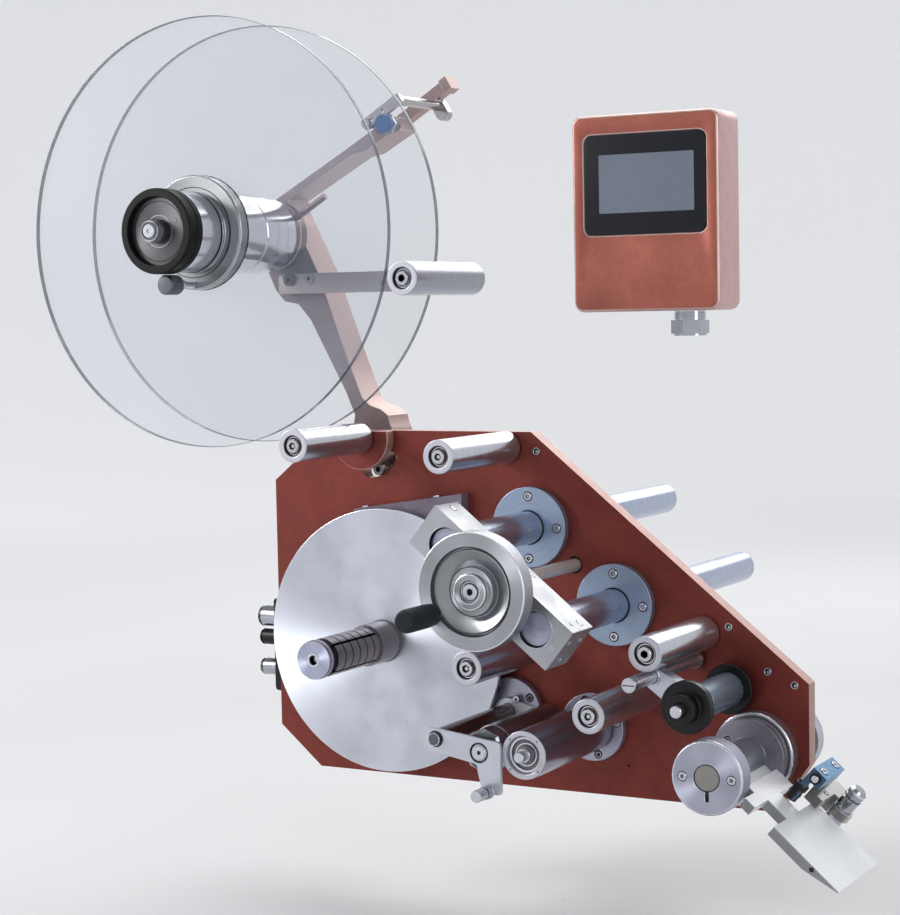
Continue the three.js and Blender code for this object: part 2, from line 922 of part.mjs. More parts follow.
function gripRing() {
  const back = ringWide - mandrelFront - seatGap;
  const lipBack = endPlateDepth - mandrelFront - seatGap;
  const inner = ringRadius - ringStep + seatGap;
  return turned(
    [
      [inner, lipBack],
      [endPlateRadius, lipBack],
      [endPlateRadius + mandrelGroove, -mandrelFront],
      [ringRadius - mandrelGroove, -mandrelFront],
      [ringRadius, mandrelGroove - mandrelFront],
      [ringRadius, back],
      [inner, back],
    ],
    wheelFacets,
  );
}

function reelDisc(bore, back) {
  return sleeve(reelRadius, bore, back - reelDiscThick, back, reelFacets);
}

function clampRing() {
  const front = clampBack - clampThick;
  const ring = turned(
    [
      [mandrelRadius + seatGap, front],
      [clampRadius - wheelChamfer, front],
      [clampRadius, front + wheelChamfer],
      [clampRadius, clampBack - wheelChamfer],
      [clampRadius - wheelChamfer, clampBack],
      [clampSpigotRadius, clampBack],
      [clampSpigotRadius, frontDiscBack],
      [mandrelRadius + seatGap, frontDiscBack],
    ],
    wheelFacets,
  );
  const hole = rod(clampStemRadius + runGap, front - overrun, clampBack + overrun, smallFacets);
  return cut(ring, hole.translate(0, 0, -clampKnobReach));
}

function clampKnob() {
  const knobBack = clampKnobLength - clampKnobFront;
  return join(
    disc(clampKnobRadius, 0, -clampKnobFront, knobBack, wheelChamfer, smallFacets),
    rod(clampStemRadius, knobBack - overrun, clampBack - seatGap, smallFacets),
  );
}

// Brake collar round the spindle with its radial stud
function brakeCollar() {
  const collar = sleeve(collarRadius, spindleRadius + seatGap, seatGap - collarFront, collarBack, wheelFacets);
  const stud = rod(studRadius, 0, collarRadius + studLength, smallFacets)
    .rotateZ(-Math.PI / 2)
    .rotateY(-studAngle);
  const bore = rod(spindleRadius + seatGap, -collarFront - overrun, collarBack + overrun);
  return cut(join(collar, stud.translate(0, (collarBack - collarFront) / 2, 0)), bore);
}

// Tip of the arm: extension bar behind it, feeler frame across the web and a round sensor
const tipAlongShare = 1.13;
const tipAcrossShare = 0.66;
const tipTurn = THREE.MathUtils.degToRad(3);

function feelerBar() {
  const front = feelerBarBack - feelerBarSize;
  const low = feelerBarLift - feelerBarSize / 2;
  const high = feelerBarLift + feelerBarSize / 2;
  const right = feelerBarSize - feelerBarLeft;
  const back = plateThick + armDepth + 2 * seatGap;
  return join(
    block([-feelerBarLeft, feelerBarRight], [front, feelerBarBack], [low, high]),
    block([-feelerBarLeft, right], [back, feelerBarBack], [low, high]),
    block([-feelerBarLeft, right], [back, back + feelerFootThick], [-feelerFootDrop, high]),
    block(
      [feelerBarRight - feelerBlockWide, feelerBarRight],
      [front - feelerPlateThick, feelerBarBack],
      [high - feelerBlockHigh, high],
    ),
  );
}

function feelerFrame() {
  const plateBack = plateThick - feelerPlateThick;
  const rodBack = feelerBarBack - feelerPlateThick;
  const half = feelerPlateHigh / 2;
  const plate = roundedPolygon(
    [
      [-feelerPlateLeft, feelerPlateLift - half],
      [feelerPlateRight, feelerPlateLift - half],
      [feelerPlateRight, feelerPlateLift + half],
      [-feelerPlateLeft, feelerPlateLift + half],
    ],
    feelerPlateHoleRadius,
  );
  const holes = feelerPlateHoles.map((x) => roundHole(x, feelerPlateLift, feelerPlateHoleRadius, smallFacets));
  plate.holes.push(...holes);
  const bossFront = plateBack - feelerPlateThick - feelerPlateHoleRadius;
  const boss = rod(feelerBossRadius, bossFront, plateThick, smallFacets);
  const link = loop(0, -feelerLinkDrop, feelerLinkRadius, feelerLinkRadius);
  return join(
    slab(plate, plateBack - feelerPlateThick, plateBack),
    boss.translate(-feelerPlateHoleRadius, 0, feelerPlateLift),
    rod(feelerRodRadius, plateBack - feelerPlateThick, rodBack, smallFacets).translate(
      feelerRodRight,
      0,
      feelerRodLift,
    ),
    slab(link, rodBack - feelerLinkThick, rodBack).translate(feelerRodRight, 0, feelerRodLift),
  );
}

function diameterSensor() {
  return join(
    disc(eyeSensorRadius, 0, plateThick - eyeSensorLength, plateThick, wheelChamfer, smallFacets),
    block([-eyeLugLong, 0], [plateThick - eyeLugThick, plateThick], [-eyeLugHigh / 2, eyeLugHigh / 2]),
  );
}

function unwinder() {
  const arm = new THREE.Group();
  arm.position.set(pivotX, 0, pivotZ);
  arm.rotation.y = -armLean;
  const hub = new THREE.Group();
  hub.position.set(0, 0, armReach);
  hub.rotation.y = armLean;
  const tip = new THREE.Group();
  tip.position.set(tipAcrossShare * armReach, 0, tipAlongShare * armReach);
  tip.rotation.y = -tipTurn;
  arm.add(named("unwinder_arm", unwinderArm(), "arm"), hub, tip);
  hub.add(
    named("dancer_bar", dancerBar(), "arm", 0, -barDrop),
    named("dancer_roller", idleRoller(dancerFront, dancerBack), "chrome", dancerReach, -barDrop),
    named("brake_collar", brakeCollar(), "brown"),
    named("reel_mandrel", reelMandrel(), "chrome"),
    named("grip_ring", gripRing(), "black"),
    named("rear_disc", reelDisc(mandrelRadius - mandrelGroove + seatGap, rearDiscBack), "clear"),
    named("front_disc", reelDisc(clampSpigotRadius + seatGap, frontDiscBack), "clear"),
    named("clamp_ring", clampRing(), "steel"),
    named("clamp_knob", clampKnob(), "steel", 0, -clampKnobReach),
  );
  tip.add(
    named("feeler_bar", feelerBar(), "arm"),
    named("feeler_frame", feelerFrame(), "chrome"),
    named("diameter_sensor", diameterSensor(), "blue", eyeSensorRight, -eyeSensorDrop),
  );
  return arm;
}

// Rewinder: disc, grooved and slotted mandrel with its cap, and the cover beside it
const rewindCapBack = -rewindBodyFront - rewindNeckLength;
const pulleyFront = pulleyBack - pulleyWide;

function rewindMandrel() {
  const spacing = (rewindBodyFront - rewindCollarFront) / (rewindGrooves + 1);
  const grooves = [];
  for (let i = 1; i <= rewindGrooves; i++) {
    const y = i * spacing - rewindBodyFront;
    grooves.push(
      [rewindBodyRadius, y - rewindGrooveWide / 2],
      [rewindBodyRadius - rewindGrooveDeep, y - rewindGrooveWide / 2],
      [rewindBodyRadius - rewindGrooveDeep, y + rewindGrooveWide / 2],
      [rewindBodyRadius, y + rewindGrooveWide / 2],
    );
  }
  const discBack = -rewindDiscFront - seatGap;
  const core = turned([
    [0, rewindCapBack],
    [rewindCapHoleRadius, rewindCapBack],
    [rewindCapHoleRadius, rewindCapBack - rewindCapThick],
    [rewindBodyRadius - wheelChamfer, rewindCapBack - rewindCapThick],
    [rewindBodyRadius, rewindCapBack - rewindCapThick + wheelChamfer],
    [rewindBodyRadius, rewindCapBack],
    [rewindNeckRadius, rewindCapBack],
    [rewindNeckRadius, -rewindBodyFront],
    [rewindBodyRadius, -rewindBodyFront],
    ...grooves,
    [rewindBodyRadius, -rewindCollarFront],
    [rewindCollarRadius, -rewindCollarFront],
    [rewindCollarRadius, discBack],
    [rewindShaftRadius, discBack],
    [rewindShaftRadius, rewindBehind],
    [0, rewindBehind],
  ]);
  const floor = rewindBodyRadius - rewindSlotDeep;
  const half = rewindSlotWide / 2;
  const slots = [];
  for (let i = 0; i < rewindSlots; i++) {
    const slot = block(
      [floor, rewindBodyRadius + overrun],
      [-rewindBodyFront - rewindGrooveWide, -rewindCollarFront - rewindGrooveWide],
      [-half, half],
    );
    slots.push(slot.rotateY(((i + 1 / 2) * 2 * Math.PI) / rewindSlots));
  }
  return cut(core, ...slots);
}

function rewindDisc() {
  const bore = rewindShaftRadius + seatGap;
  const back = rewindDiscThick - rewindDiscFront;
  return turned(
    [
      [bore, -rewindDiscFront],
      [rewindDiscRadius, -rewindDiscFront],
      [rewindDiscRadius, back],
      [rewindHubRadius, back],
      [rewindHubRadius, -flangeThick - 2 * seatGap],
      [bore, -flangeThick - 2 * seatGap],
    ],
    reelFacets,
  );
}

function rewindCover() {
  return slab(
    roundedPolygon(
      [
        [-coverLeft, coverTop - coverHigh],
        [-coverRight, coverTop - coverHigh],
        [-coverRight, coverTop],
        [-coverLeft, coverTop],
      ],
      nipCorner,
    ),
    -coverDeep,
    -seatGap,
  );
}

// A grooved belt pulley on a shaft behind the plate
function pulley(radius, shaft) {
  const half = (beltWide + 2 * seatGap) / 2;
  const middle = (pulleyFront + pulleyBack) / 2;
  return turned([
    [shaft + seatGap, pulleyFront],
    [radius + pulleyLip, pulleyFront],
    [radius + pulleyLip, middle - half],
    [radius, middle - half],
    [radius, middle + half],
    [radius + pulleyLip, middle + half],
    [radius + pulleyLip, pulleyBack],
    [shaft + seatGap, pulleyBack],
  ]);
}

function rewindBelt() {
  const x = driveX - rewindX;
  const z = driveZ - rewindZ;
  const inside = [rewindPulleyRadius + runGap, drivePulleyRadius + runGap];
  const outside = inside.map((radius) => radius + beltThick);
  const outline = loop(x, z, ...outside, wheelFacets / 2);
  outline.holes.push(loop(x, z, ...inside, wheelFacets / 2));
  const middle = (pulleyFront + pulleyBack) / 2;
  return slab(outline, middle - beltWide / 2, middle + beltWide / 2);
}

function rewinder() {
  return [
    named("rewind_mandrel", rewindMandrel(), "steel", rewindX, rewindZ),
    named("rewind_disc", rewindDisc(), "pale", rewindX, rewindZ),
    named("rewind_pulley", pulley(rewindPulleyRadius, rewindShaftRadius), "black", rewindX, rewindZ),
    named("rewind_belt", rewindBelt(), "black", rewindX, rewindZ),
    named("rewind_cover", rewindCover(), "arm"),
    named(
      "rewind_bearing",
      flangedBearing(rewindFlangeRadius, rewindBarrelRadius, rewindShaftRadius + runGap, bearingBehind),
      "blued",
      rewindX,
      rewindZ,
    ),
  ];
}

// Drive roller and its motor
function driveRoller() {
  return turned([
    [0, driveMouthDepth / 2 - driveFront],
    [driveStubRadius, driveMouthDepth / 2 - driveFront],
    [driveStubRadius, driveMouthDepth - driveFront],
    [driveMouthRadius, driveMouthDepth - driveFront],
    [driveMouthRadius, -driveFront],
    [driveRadius - rollerChamfer, -driveFront],
    [driveRadius, rollerChamfer - driveFront],
    [driveRadius, -driveBack - rollerChamfer],
    [driveRadius - rollerChamfer, -driveBack],
    [driveShaftRadius, -driveBack],
    [driveShaftRadius, motorBack + motorEntry - seatGap],
    [0, motorBack + motorEntry - seatGap],
  ]);
}

function driveMotor() {
  const end = motorBack + motorLength;
  const square = (inset) => roundedRectangle(motorSize - inset, motorSize - inset, motorCorner);
  const cornerAt = motorSize / 2 - motorCorner;
  const corners = [[-1, -1], [1, -1], [1, 1], [-1, 1]].map(([x, z]) =>
    rod(standoffRadius, plateThick + seatGap, motorBack + overrun, smallFacets).translate(
      x * cornerAt,
      0,
      z * cornerAt,
    ),
  );
  const body = join(
    slab(square(0), motorBack, motorBack + motorCapLong),
    slab(square(motorWaist), motorBack + motorCapLong - overrun, end - motorCapLong + overrun),
    slab(square(0), end - motorCapLong, end),
    rod(motorBossRadius, motorBack - motorBossThick, motorBack + overrun),
    ...corners,
  );
  const heading = Math.atan2(driveZ - rewindZ, driveX - rewindX);
  const entry = rod(driveShaftRadius + runGap, motorBack - motorBossThick - overrun, motorBack + motorEntry);
  return cut(body, entry).rotateY(-heading);
}

function driveTrain() {
  const bore = driveShaftRadius + runGap;
  const bearing = flangedBearing(bearingFlangeRadius, bearingBarrelRadius, bore, bearingBehind);
  return [
    named("drive_roller", driveRoller(), "steel", driveX, driveZ),
    named("drive_pulley", pulley(drivePulleyRadius, driveShaftRadius), "black", driveX, driveZ),
    named("drive_motor", driveMotor(), "black", driveX, driveZ),
    named("drive_bearing", bearing, "blued", driveX, driveZ),
  ];
}

// Nip lever: front sheet with its pull pin, axle and rear sheet, on a shaft with its own bearing
const pressureRadius = Math.hypot(driveX - pressureX, driveZ - pressureZ) - driveRadius - seatGap;

function nipLever() {
  const x = pressureX - nipX;
  const z = pressureZ - nipZ;
  const pinX = pullPinX - nipX;
  const footZ = -nipFoot - nipZ;
  const right = nipRight - nipX;
  const topRight = z + nipEyeRadius;
  const outline = roundedPolygon(
    [
      [-nipEyeRadius, nipEyeRadius],
      [right, topRight],
      [right, footZ],
      [pinX - nipEyeRadius / 2, footZ],
      [pinX - nipEyeRadius, footZ + 2 * nipEyeRadius],
      [pinX - nipEyeRadius, z - nipEyeRadius],
      [-nipEyeRadius, -nipEyeRadius],
    ],
    nipCorner,
  );
  outline.holes.push(
    roundHole(0, 0, nipScrewNeckRadius + seatGap),
    roundHole(x, z, nipWindowRadius),
  );
  const back = nipPlateThick - nipPlateFront;
  const sheet = slab(outline, -nipPlateFront, back);
  const floor = rod(nipWindowRadius + overrun, back, back + nipWindowDepth).translate(x, 0, z);
  const axleBack = nipPlateThick - nipRearFront;
  const spine = rod(pressureAxleRadius, -nipPlateFront, axleBack, smallFacets).translate(x, 0, z);
  const rearShape = loop(x, z, nipEyeRadius + nipCorner, nipEyeRadius);
  rearShape.holes.push(roundHole(0, 0, nipShaftRadius + seatGap));
  const rearSheet = slab(rearShape, -nipRearFront, nipPlateThick - nipRearFront);
  const pin = rod(pullPinRadius, -nipPlateFront - pullPinLength, back, smallFacets);
  return join(sheet, floor, spine, rearSheet, pin.translate(pinX, 0, pullPinZ - nipZ));
}

function nipShaft() {
  const shoulder = nipPlateThick - nipPlateFront + seatGap;
  const headBack = -nipPlateFront - seatGap;
  return turned([
    [0, headBack - nipScrewHead],
    [nipScrewRadius, headBack - nipScrewHead],
    [nipScrewRadius, headBack],
    [nipScrewNeckRadius, headBack],
    [nipScrewNeckRadius, shoulder],
    [nipShaftRadius, shoulder],
    [nipShaftRadius, plateThick + bearingBehind],
    [0, plateThick + bearingBehind],
  ]);
}

function pressureRoller() {
  const front = nipPlateThick + nipWindowDepth - nipPlateFront + pressureEndGap;
  const back = -nipRearFront - pressureEndGap;
  return disc(pressureRadius, pressureAxleRadius + runGap, front, back, rollerChamfer);
}

function nip() {
  const bore = nipShaftRadius + runGap;
  const bearing = flangedBearing(bearingFlangeRadius, bearingBarrelRadius, bore, bearingBehind);
  return [
    named("nip_lever", nipLever(), "pale", nipX, nipZ),
    named("nip_shaft", nipShaft(), "brown", nipX, nipZ),
    named("pressure_roller", pressureRoller(), "steel", pressureX, pressureZ),
    named("nip_bearing", bearing, "blued", nipX, nipZ),
  ];
}

// Press arm on its rod, with a guide spool and a knob on its shaft
function pressRod() {
  return turned([
    [0, -rodTip],
    [rodRadius - rollerChamfer, -rodTip],
    [rodRadius, rollerChamfer - rodTip],
    [rodRadius, -rodCollarLength],
    [rodCollarRadius, -rodCollarLength],
    [rodCollarRadius, -seatGap],
    [0, -seatGap],
  ]);
}

function pressArm() {
  const x = spoolX - rodX;
  const z = spoolZ - rodZ;
  const outline = loop(x, z, pressEyeRadius, spoolEyeRadius);
  outline.holes.push(roundHole(0, 0, rodRadius + runGap));
  const shaft = rod(spoolShaftRadius, -spoolShaftFront, -spoolBack, smallFacets);
  return join(slab(outline, -pressFront, pressThick - pressFront), shaft.translate(x, 0, z));
}

function spoolSleeve() {
  const front = pressThick - pressFront + rollerGap;
  const back = -spoolBack - spoolFlangeThick - seatGap;
  return sleeve(spoolRadius, spoolShaftRadius + runGap, front, back);
}

function spoolFlange() {
  const back = -spoolBack;
  return disc(spoolRearFlangeRadius, spoolShaftRadius + runGap, back - spoolFlangeThick, back, rollerChamfer);
}

function pressKnob() {
  const bore = spoolShaftRadius + runGap;
  const back = -pressFront - rollerGap;
  const hubFront = -spoolKnobFront - spoolKnobHubLength;
  return turned([
    [bore, hubFront],
    [spoolKnobHubRadius - rollerChamfer, hubFront],
    [spoolKnobHubRadius, hubFront + rollerChamfer],
    [spoolKnobHubRadius, -spoolKnobFront],
    [spoolFlangeRadius - rollerChamfer, -spoolKnobFront],
    [spoolFlangeRadius, rollerChamfer - spoolKnobFront],
    [spoolFlangeRadius, back - rollerChamfer],
    [spoolFlangeRadius - rollerChamfer, back],
    [bore, back],
  ]);
}

function press() {
  return [
    named("press_rod", pressRod(), "steel", rodX, rodZ),
    named("press_arm", pressArm(), "pale", rodX, rodZ),
    named("spool_sleeve", spoolSleeve(), "blued", spoolX, spoolZ),
    named("spool_flange", spoolFlange(), "black", spoolX, spoolZ),
    named("press_knob", pressKnob(), "black", spoolX, spoolZ),
  ];
}

// Peel head: clamp, tube, T-shaped peel plate, lock wheel and label sensor
const peelClampBack = peelClampThick - peelFront;
const peelDiscBack = -peelSocketFront - seatGap;
const peelDiscFront = peelDiscBack - peelDiscThick;

function peelTube() {
  return turned([
    [0, -peelFront],
    [peelCoreRadius, -peelFront],
    [peelCoreRadius, peelClampBack + seatGap],
    [peelTubeRadius, peelClampBack + seatGap],
    [peelTubeRadius, peelDiscFront],
    [peelDiscRadius - rollerChamfer, peelDiscFront],
    [peelDiscRadius, peelDiscFront + rollerChamfer],
    [peelDiscRadius, peelDiscBack],
    [peelShaftRadius, peelDiscBack],
    [peelShaftRadius, peelShaftBehind],
    [0, peelShaftBehind],
  ]);
}

function peelClamp() {
  const ring = disc(
    peelClampRadius,
    peelCoreRadius + seatGap,
    -peelFront,
    peelClampBack,
    peelClampChamfer,
    wheelFacets,
  );
  const key = block(
    [-peelKeyWide / 2, peelKeyWide / 2],
    [-peelFront - overrun, peelClampBack + overrun],
    [-peelCoreRadius - peelKeyDeep, 0],
  );
  return cut(ring, key);
}

function peelSocket() {
  const bore = peelShaftRadius + runGap;
  return disc(peelSocketRadius, bore, -peelSocketFront, -seatGap, rollerChamfer, wheelFacets);
}

function peelWheel() {
  const front = peelShaftBehind - peelWheelThick;
  return disc(peelWheelRadius, peelShaftRadius + seatGap, front, peelShaftBehind, peelClampChamfer);
}

function peelPlate() {
  const under = peelTop - peelThick;
  const clearOfClamp = peelClampBack + 2 * seatGap;
  const clearOfDisc = peelDiscFront - 2 * seatGap;
  const outside = peelDiscRadius;
  const blade = polygon([
    [peelStart, under],
    [peelEnd - peelTaper, under],
    [peelEnd, peelTop - peelNose],
    [peelEnd, peelTop],
    [peelStart, peelTop],
  ]);
  const saddle = block([0, tabStart + overrun], [clearOfClamp, clearOfDisc], [under, under + saddleThick]);
  const seat = rod(peelTubeRadius + seatGap, clearOfClamp - overrun, clearOfDisc + overrun);
  return cut(
    join(
      slab(blade, -peelFront, -peelBack),
      block([tabStart, tabEnd], [clearOfClamp, clearOfDisc], [under, peelTop]),
      block([outside, tabEnd], [-peelFront, clearOfDisc], [under, peelTop]),
      block([tabEnd - overrun, peelStart + overrun], [-neckFront, -neckBack], [under, peelTop]),
      saddle,
    ),
    seat,
  );
}

function labelSensor() {
  const end = sensorStart + sensorWide;
  const under = sensorTop - sensorHigh;
  return join(
    block([sensorStart, end], [-sensorFront, -sensorBack], [under, sensorTop]),
    block(
      [sensorStart, sensorStart + sensorLegWide],
      [-sensorFront, sensorLegLong - sensorFront],
      [peelTop + sensorFoot, under + overrun],
    ),
  );
}

function sensorBracket() {
  const low = peelTop + seatGap;
  const top = low + footHigh;
  const under = sensorTop - sensorHigh - seatGap;
  const sensorEnd = sensorStart + sensorWide;
  const bar = block([footStart, footStart + footWide], [-footFront, heelLong], [low, top]);
  const heel = block([footStart, footStart + footWide + heelProud], [0, heelLong], [low - heelDrop, top]);
  const riser = block([sensorEnd - riserWide, sensorEnd], [-footFront, riserLong - footFront], [low, under]);
  const eye = rod(postRadius + eyeWide, low - heelDrop, low).rotateX(Math.PI / 2);
  const hole = rod(postRadius + seatGap, low - heelDrop - overrun, top + overrun).rotateX(Math.PI / 2);
  const place = [postX, postBehind, 0];
  return cut(join(bar, heel, riser, eye.translate(...place)), hole.translate(...place));
}

function sensorPost() {
  return disc(postRadius, 0, peelTop - postDrop, peelTop + postHigh, postChamfer, smallFacets).rotateX(Math.PI / 2);
}

function peelHead() {
  const head = new THREE.Group();
  head.position.set(peelX, 0, peelZ);
  const slope = new THREE.Group();
  slope.rotation.y = peelSlope;
  const post = named("sensor_post", sensorPost(), "steel", postX, 0);
  post.position.y = postBehind;
  slope.add(
    named("peel_plate", peelPlate(), "pale"),
    named("label_sensor", labelSensor(), "blue"),
    named("sensor_bracket", sensorBracket(), "pale"),
    post,
  );
  head.add(
    slope,
    named("peel_tube", peelTube(), "steel"),
    named("peel_clamp", peelClamp(), "steel"),
    named("peel_socket", peelSocket(), "steel"),
    named("peel_wheel", peelWheel(), "steel"),
  );
  return head;
}

// Junction box behind the plate's left edge with three round plugs
function junctionBox() {
  const front = plateThick + seatGap;
  const shell = slab(roundedRectangle(boxWide, boxHigh, boxCorner), front, front + boxDeep);
  const plugs = plugRadii.map((radius, i) =>
    rod(radius, 0, plugLength + boxCorner, smallFacets)
      .rotateZ(Math.PI / 2)
      .translate(boxCorner - boxWide / 2, front + plugY, plugLifts[i]),
  );
  return join(shell, ...plugs);
}

function carriage() {
  const bush = () => flangedBearing(bushFlangeRadius, bushBarrelRadius, shaftRadius + runGap, bushBehind);
  const rollers = Object.entries(idleRollers).map(([name, [x, z]]) =>
    named(name, idleRoller(rollerFront, rollerGap), "chrome", x, z),
  );
  const boxX = boxWide / 2 - boxLeft;
  return [
    named("main_plate", mainPlate(), "anodised"),
    named("bush_upper", bush(), "blued"),
    named("bush_lower", bush(), "blued", shaftSpan, -shaftDrop),
    named("lead_nut", leadNut(), "steel", leadX, leadZ),
    named("pivot_boss", pivotBoss(), "anodised", pivotX, pivotZ),
    named("roller_top_left", idleRoller(rollerFront, bossThick + rollerGap), "chrome", pivotX, pivotZ),
    ...rollers,
    named("junction_box", junctionBox(), "black", boxX, boxMiddle),
    ...rewinder(),
    ...driveTrain(),
    ...nip(),
    ...press(),
    peelHead(),
    unwinder(),
  ];
}

const machine = new THREE.Group();
machine.position.set(0, -shaftBehind, 0);
machine.add(...guideFrame(), ...terminal(), ...leadDrive(), ...carriage());

const dispenser = new THREE.Group();
dispenser.add(machine);

export default dispenser;
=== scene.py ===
import math

import bmesh
import bpy
from mathutils import Matrix, Vector


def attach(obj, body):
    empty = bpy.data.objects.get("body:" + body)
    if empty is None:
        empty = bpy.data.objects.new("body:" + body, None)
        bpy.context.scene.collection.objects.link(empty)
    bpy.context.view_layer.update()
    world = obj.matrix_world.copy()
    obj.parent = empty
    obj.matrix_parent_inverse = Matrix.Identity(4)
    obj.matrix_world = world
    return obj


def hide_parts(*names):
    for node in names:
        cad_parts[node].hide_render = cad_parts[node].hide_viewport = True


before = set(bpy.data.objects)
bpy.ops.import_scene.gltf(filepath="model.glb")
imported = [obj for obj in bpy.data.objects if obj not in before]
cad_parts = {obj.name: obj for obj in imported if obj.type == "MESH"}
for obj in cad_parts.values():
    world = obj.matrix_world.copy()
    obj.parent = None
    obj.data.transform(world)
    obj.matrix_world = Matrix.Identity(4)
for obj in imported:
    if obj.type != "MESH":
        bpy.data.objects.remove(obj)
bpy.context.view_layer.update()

# Millimetres in the machine's own frame, whose y = 0 is the main plate's front face
MM = 0.001
PLATE_FACE = 300

# Axes along y, as x and z
REEL = (-278.9, 274.1)
REWIND = (-146.6, -110)
DRIVE = (60.7, -178.9)
NIP = (-22.4, -170.5)
PRESSURE = (19.8, -179.2)
WHEEL = (42, -33.6)
SPOOL = (195, -134)
PEEL = (216.5, -189.5)
TERMINAL = (115.5, 281)
SENSOR = (-145, 373)
DANCER = (-59.9, 227.1)
PRESS_ROD = (160, -112)
PULL_PIN = (28, -212)
SHAFTS = {"upper": (0, 0), "lower": (84, -67.2)}


def at(x, y, z):
    return Vector((x, y - PLATE_FACE, z)) * MM


# Camera
def aim(azimuth, pitch, roll):
    a, p, r = (math.radians(v) for v in (azimuth, pitch, roll))
    ahead = Vector((math.sin(a) * math.cos(p), math.cos(a) * math.cos(p), -math.sin(p)))
    side = Vector((math.cos(a), -math.sin(a), 0))
    over = side.cross(ahead)
    right = side * math.cos(r) + over * math.sin(r)
    up = over * math.cos(r) - side * math.sin(r)
    return Matrix((right, up, -ahead)).transposed()


view = bpy.data.cameras.new("photo_view")
view.lens = 85.2
view.sensor_width = 36
view.sensor_fit = "HORIZONTAL"
view.clip_start = 0.05
view.clip_end = 60
camera = bpy.data.objects.new("photo_view", view)
bpy.context.scene.collection.objects.link(camera)
camera.matrix_world = Matrix.Translation((0.87976, -2.02583, 0.19666)) @ aim(-29.2, 3.9, -1.15).to_4x4()
bpy.context.scene.camera = camera


# Materials
class Look:
    """A node material around one shader."""

    def __init__(self, name):
        self.material = bpy.data.materials.new(name)
        self.material.use_nodes = True
        self.tree = self.material.node_tree
        self.shader = next(n for n in self.tree.nodes if n.type == "BSDF_PRINCIPLED")

    def node(self, kind, inputs=None, **settings):
        made = self.tree.nodes.new("ShaderNode" + kind)
        for key, value in settings.items():
            setattr(made, key, value)
        for key, value in (inputs or {}).items():
            self.put(made.inputs[key], value)
        return made

    def put(self, socket, value):
        if isinstance(value, bpy.types.NodeSocket):
            self.tree.links.new(value, socket)
        elif isinstance(value, tuple) and len(value) == 3 and len(socket.default_value) == 4:
            socket.default_value = (*value, 1)
        else:
            socket.default_value = value

    def math(self, operation, *values):
        made = self.node("Math", operation=operation)
        for socket, value in zip(made.inputs, values):
            self.put(socket, value)
        return made.outputs[0]

    def mix(self, factor, a, b):
        made = self.node("Mix", data_type="RGBA")
        for index, value in ((0, factor), (6, a), (7, b)):
            self.put(made.inputs[index], value)
        return made.outputs[2]

    def spread(self, value, low, high, into_low=0.0, into_high=1.0):
        made = self.node("MapRange", {0: value, 1: low, 2: high, 3: into_low, 4: into_high})
        return made.outputs[0]

    def noise(self, scale, detail, roughness, stretch=None):
        place = self.node("TexCoord").outputs["Object"]
        if stretch:
            place = self.node("Mapping", {"Vector": place, "Scale": stretch}).outputs[0]
        inputs = {"Vector": place, "Scale": scale, "Detail": detail, "Roughness": roughness}
        return self.node("TexNoise", inputs).outputs[0]

    def turn_axis(self, centre):
        """Distance from an axis along y and the place along it. Pieces made here have their own axis."""
        place = self.node("TexCoord").outputs["Object"]
        if centre:
            inputs = {0: place, 1: at(centre[0], 0, centre[1])}
            place = self.node("VectorMath", inputs, operation="SUBTRACT").outputs[0]
        parts = self.node("SeparateXYZ", {0: place}).outputs
        square = self.math("ADD", self.math("POWER", parts[0], 2.0), self.math("POWER", parts[2], 2.0))
        return self.math("SQRT", square), parts[1]

    def rings(self, scale, centre):
        """Fine lines round the axis, on the faces and round the sides alike."""
        where = self.math("ADD", *self.turn_axis(centre))
        inputs = {"W": where, "Scale": scale, "Detail": 3.0}
        return self.node("TexNoise", inputs, noise_dimensions="1D").outputs[0]

    def facing_sides(self):
        """1 on faces that look sideways, up or down, 0 on faces that look along y."""
        parts = self.node("SeparateXYZ", {0: self.node("TexCoord").outputs["Normal"]}).outputs
        return self.spread(self.math("ABSOLUTE", parts[1]), 0.75, 0.45)

    def set(self, **values):
        for key, value in values.items():
            self.put(self.shader.inputs[key.replace("_", " ")], value)

    def bump(self, height, strength, distance):
        inputs = {"Height": height, "Strength": strength, "Distance": distance}
        self.set(Normal=self.node("Bump", inputs).outputs[0])


def shade(colour, share):
    return tuple(c * share for c in colour)


def srgb(r, g, b):
    return tuple((c / 255 / 12.92 if c <= 10 else ((c / 255 + 0.055) / 1.055) ** 2.4) for c in (r, g, b))


def anodised(name, front, side, rough=0.42, metal=0.5):
    """Dyed aluminium: mottled where the dye took unevenly, with a fine blasted grain. Its faces that look
    sideways, up or down take the paler side colour, painted light.
    """
    look = Look(name)
    cloud = look.noise(17.0, 4.0, 0.6)
    blotch = look.noise(85.0, 4.0, 0.65)
    speck = look.noise(330, 3.0, 0.6)
    grain = look.noise(1500, 2.0, 0.6)
    tone = look.mix(look.spread(cloud, 0.34, 0.66), shade(front, 0.84), shade(front, 1.13))
    tone = look.mix(look.spread(blotch, 0.46, 0.7, 0.0, 0.34), tone, shade(front, 0.58))
    tone = look.mix(look.spread(speck, 0.5, 0.75, 0.0, 0.3), tone, shade(front, 1.5))
    # Paler side colour on faces that look sideways, up or down: painted light
    edge = look.mix(look.spread(blotch, 0.3, 0.7), shade(side, 0.88), shade(side, 1.08))
    tone = look.mix(look.facing_sides(), tone, edge)
    tone = look.mix(look.spread(grain, 0.55, 0.8, 0.0, 0.15), tone, shade(side, 0.9))
    worn = look.spread(blotch, 0.3, 0.75, rough * 0.85, rough * 1.25)
    look.set(Base_Color=tone, Metallic=metal, Roughness=worn)
    look.bump(grain, 0.25, 0.0001)
    return look.material


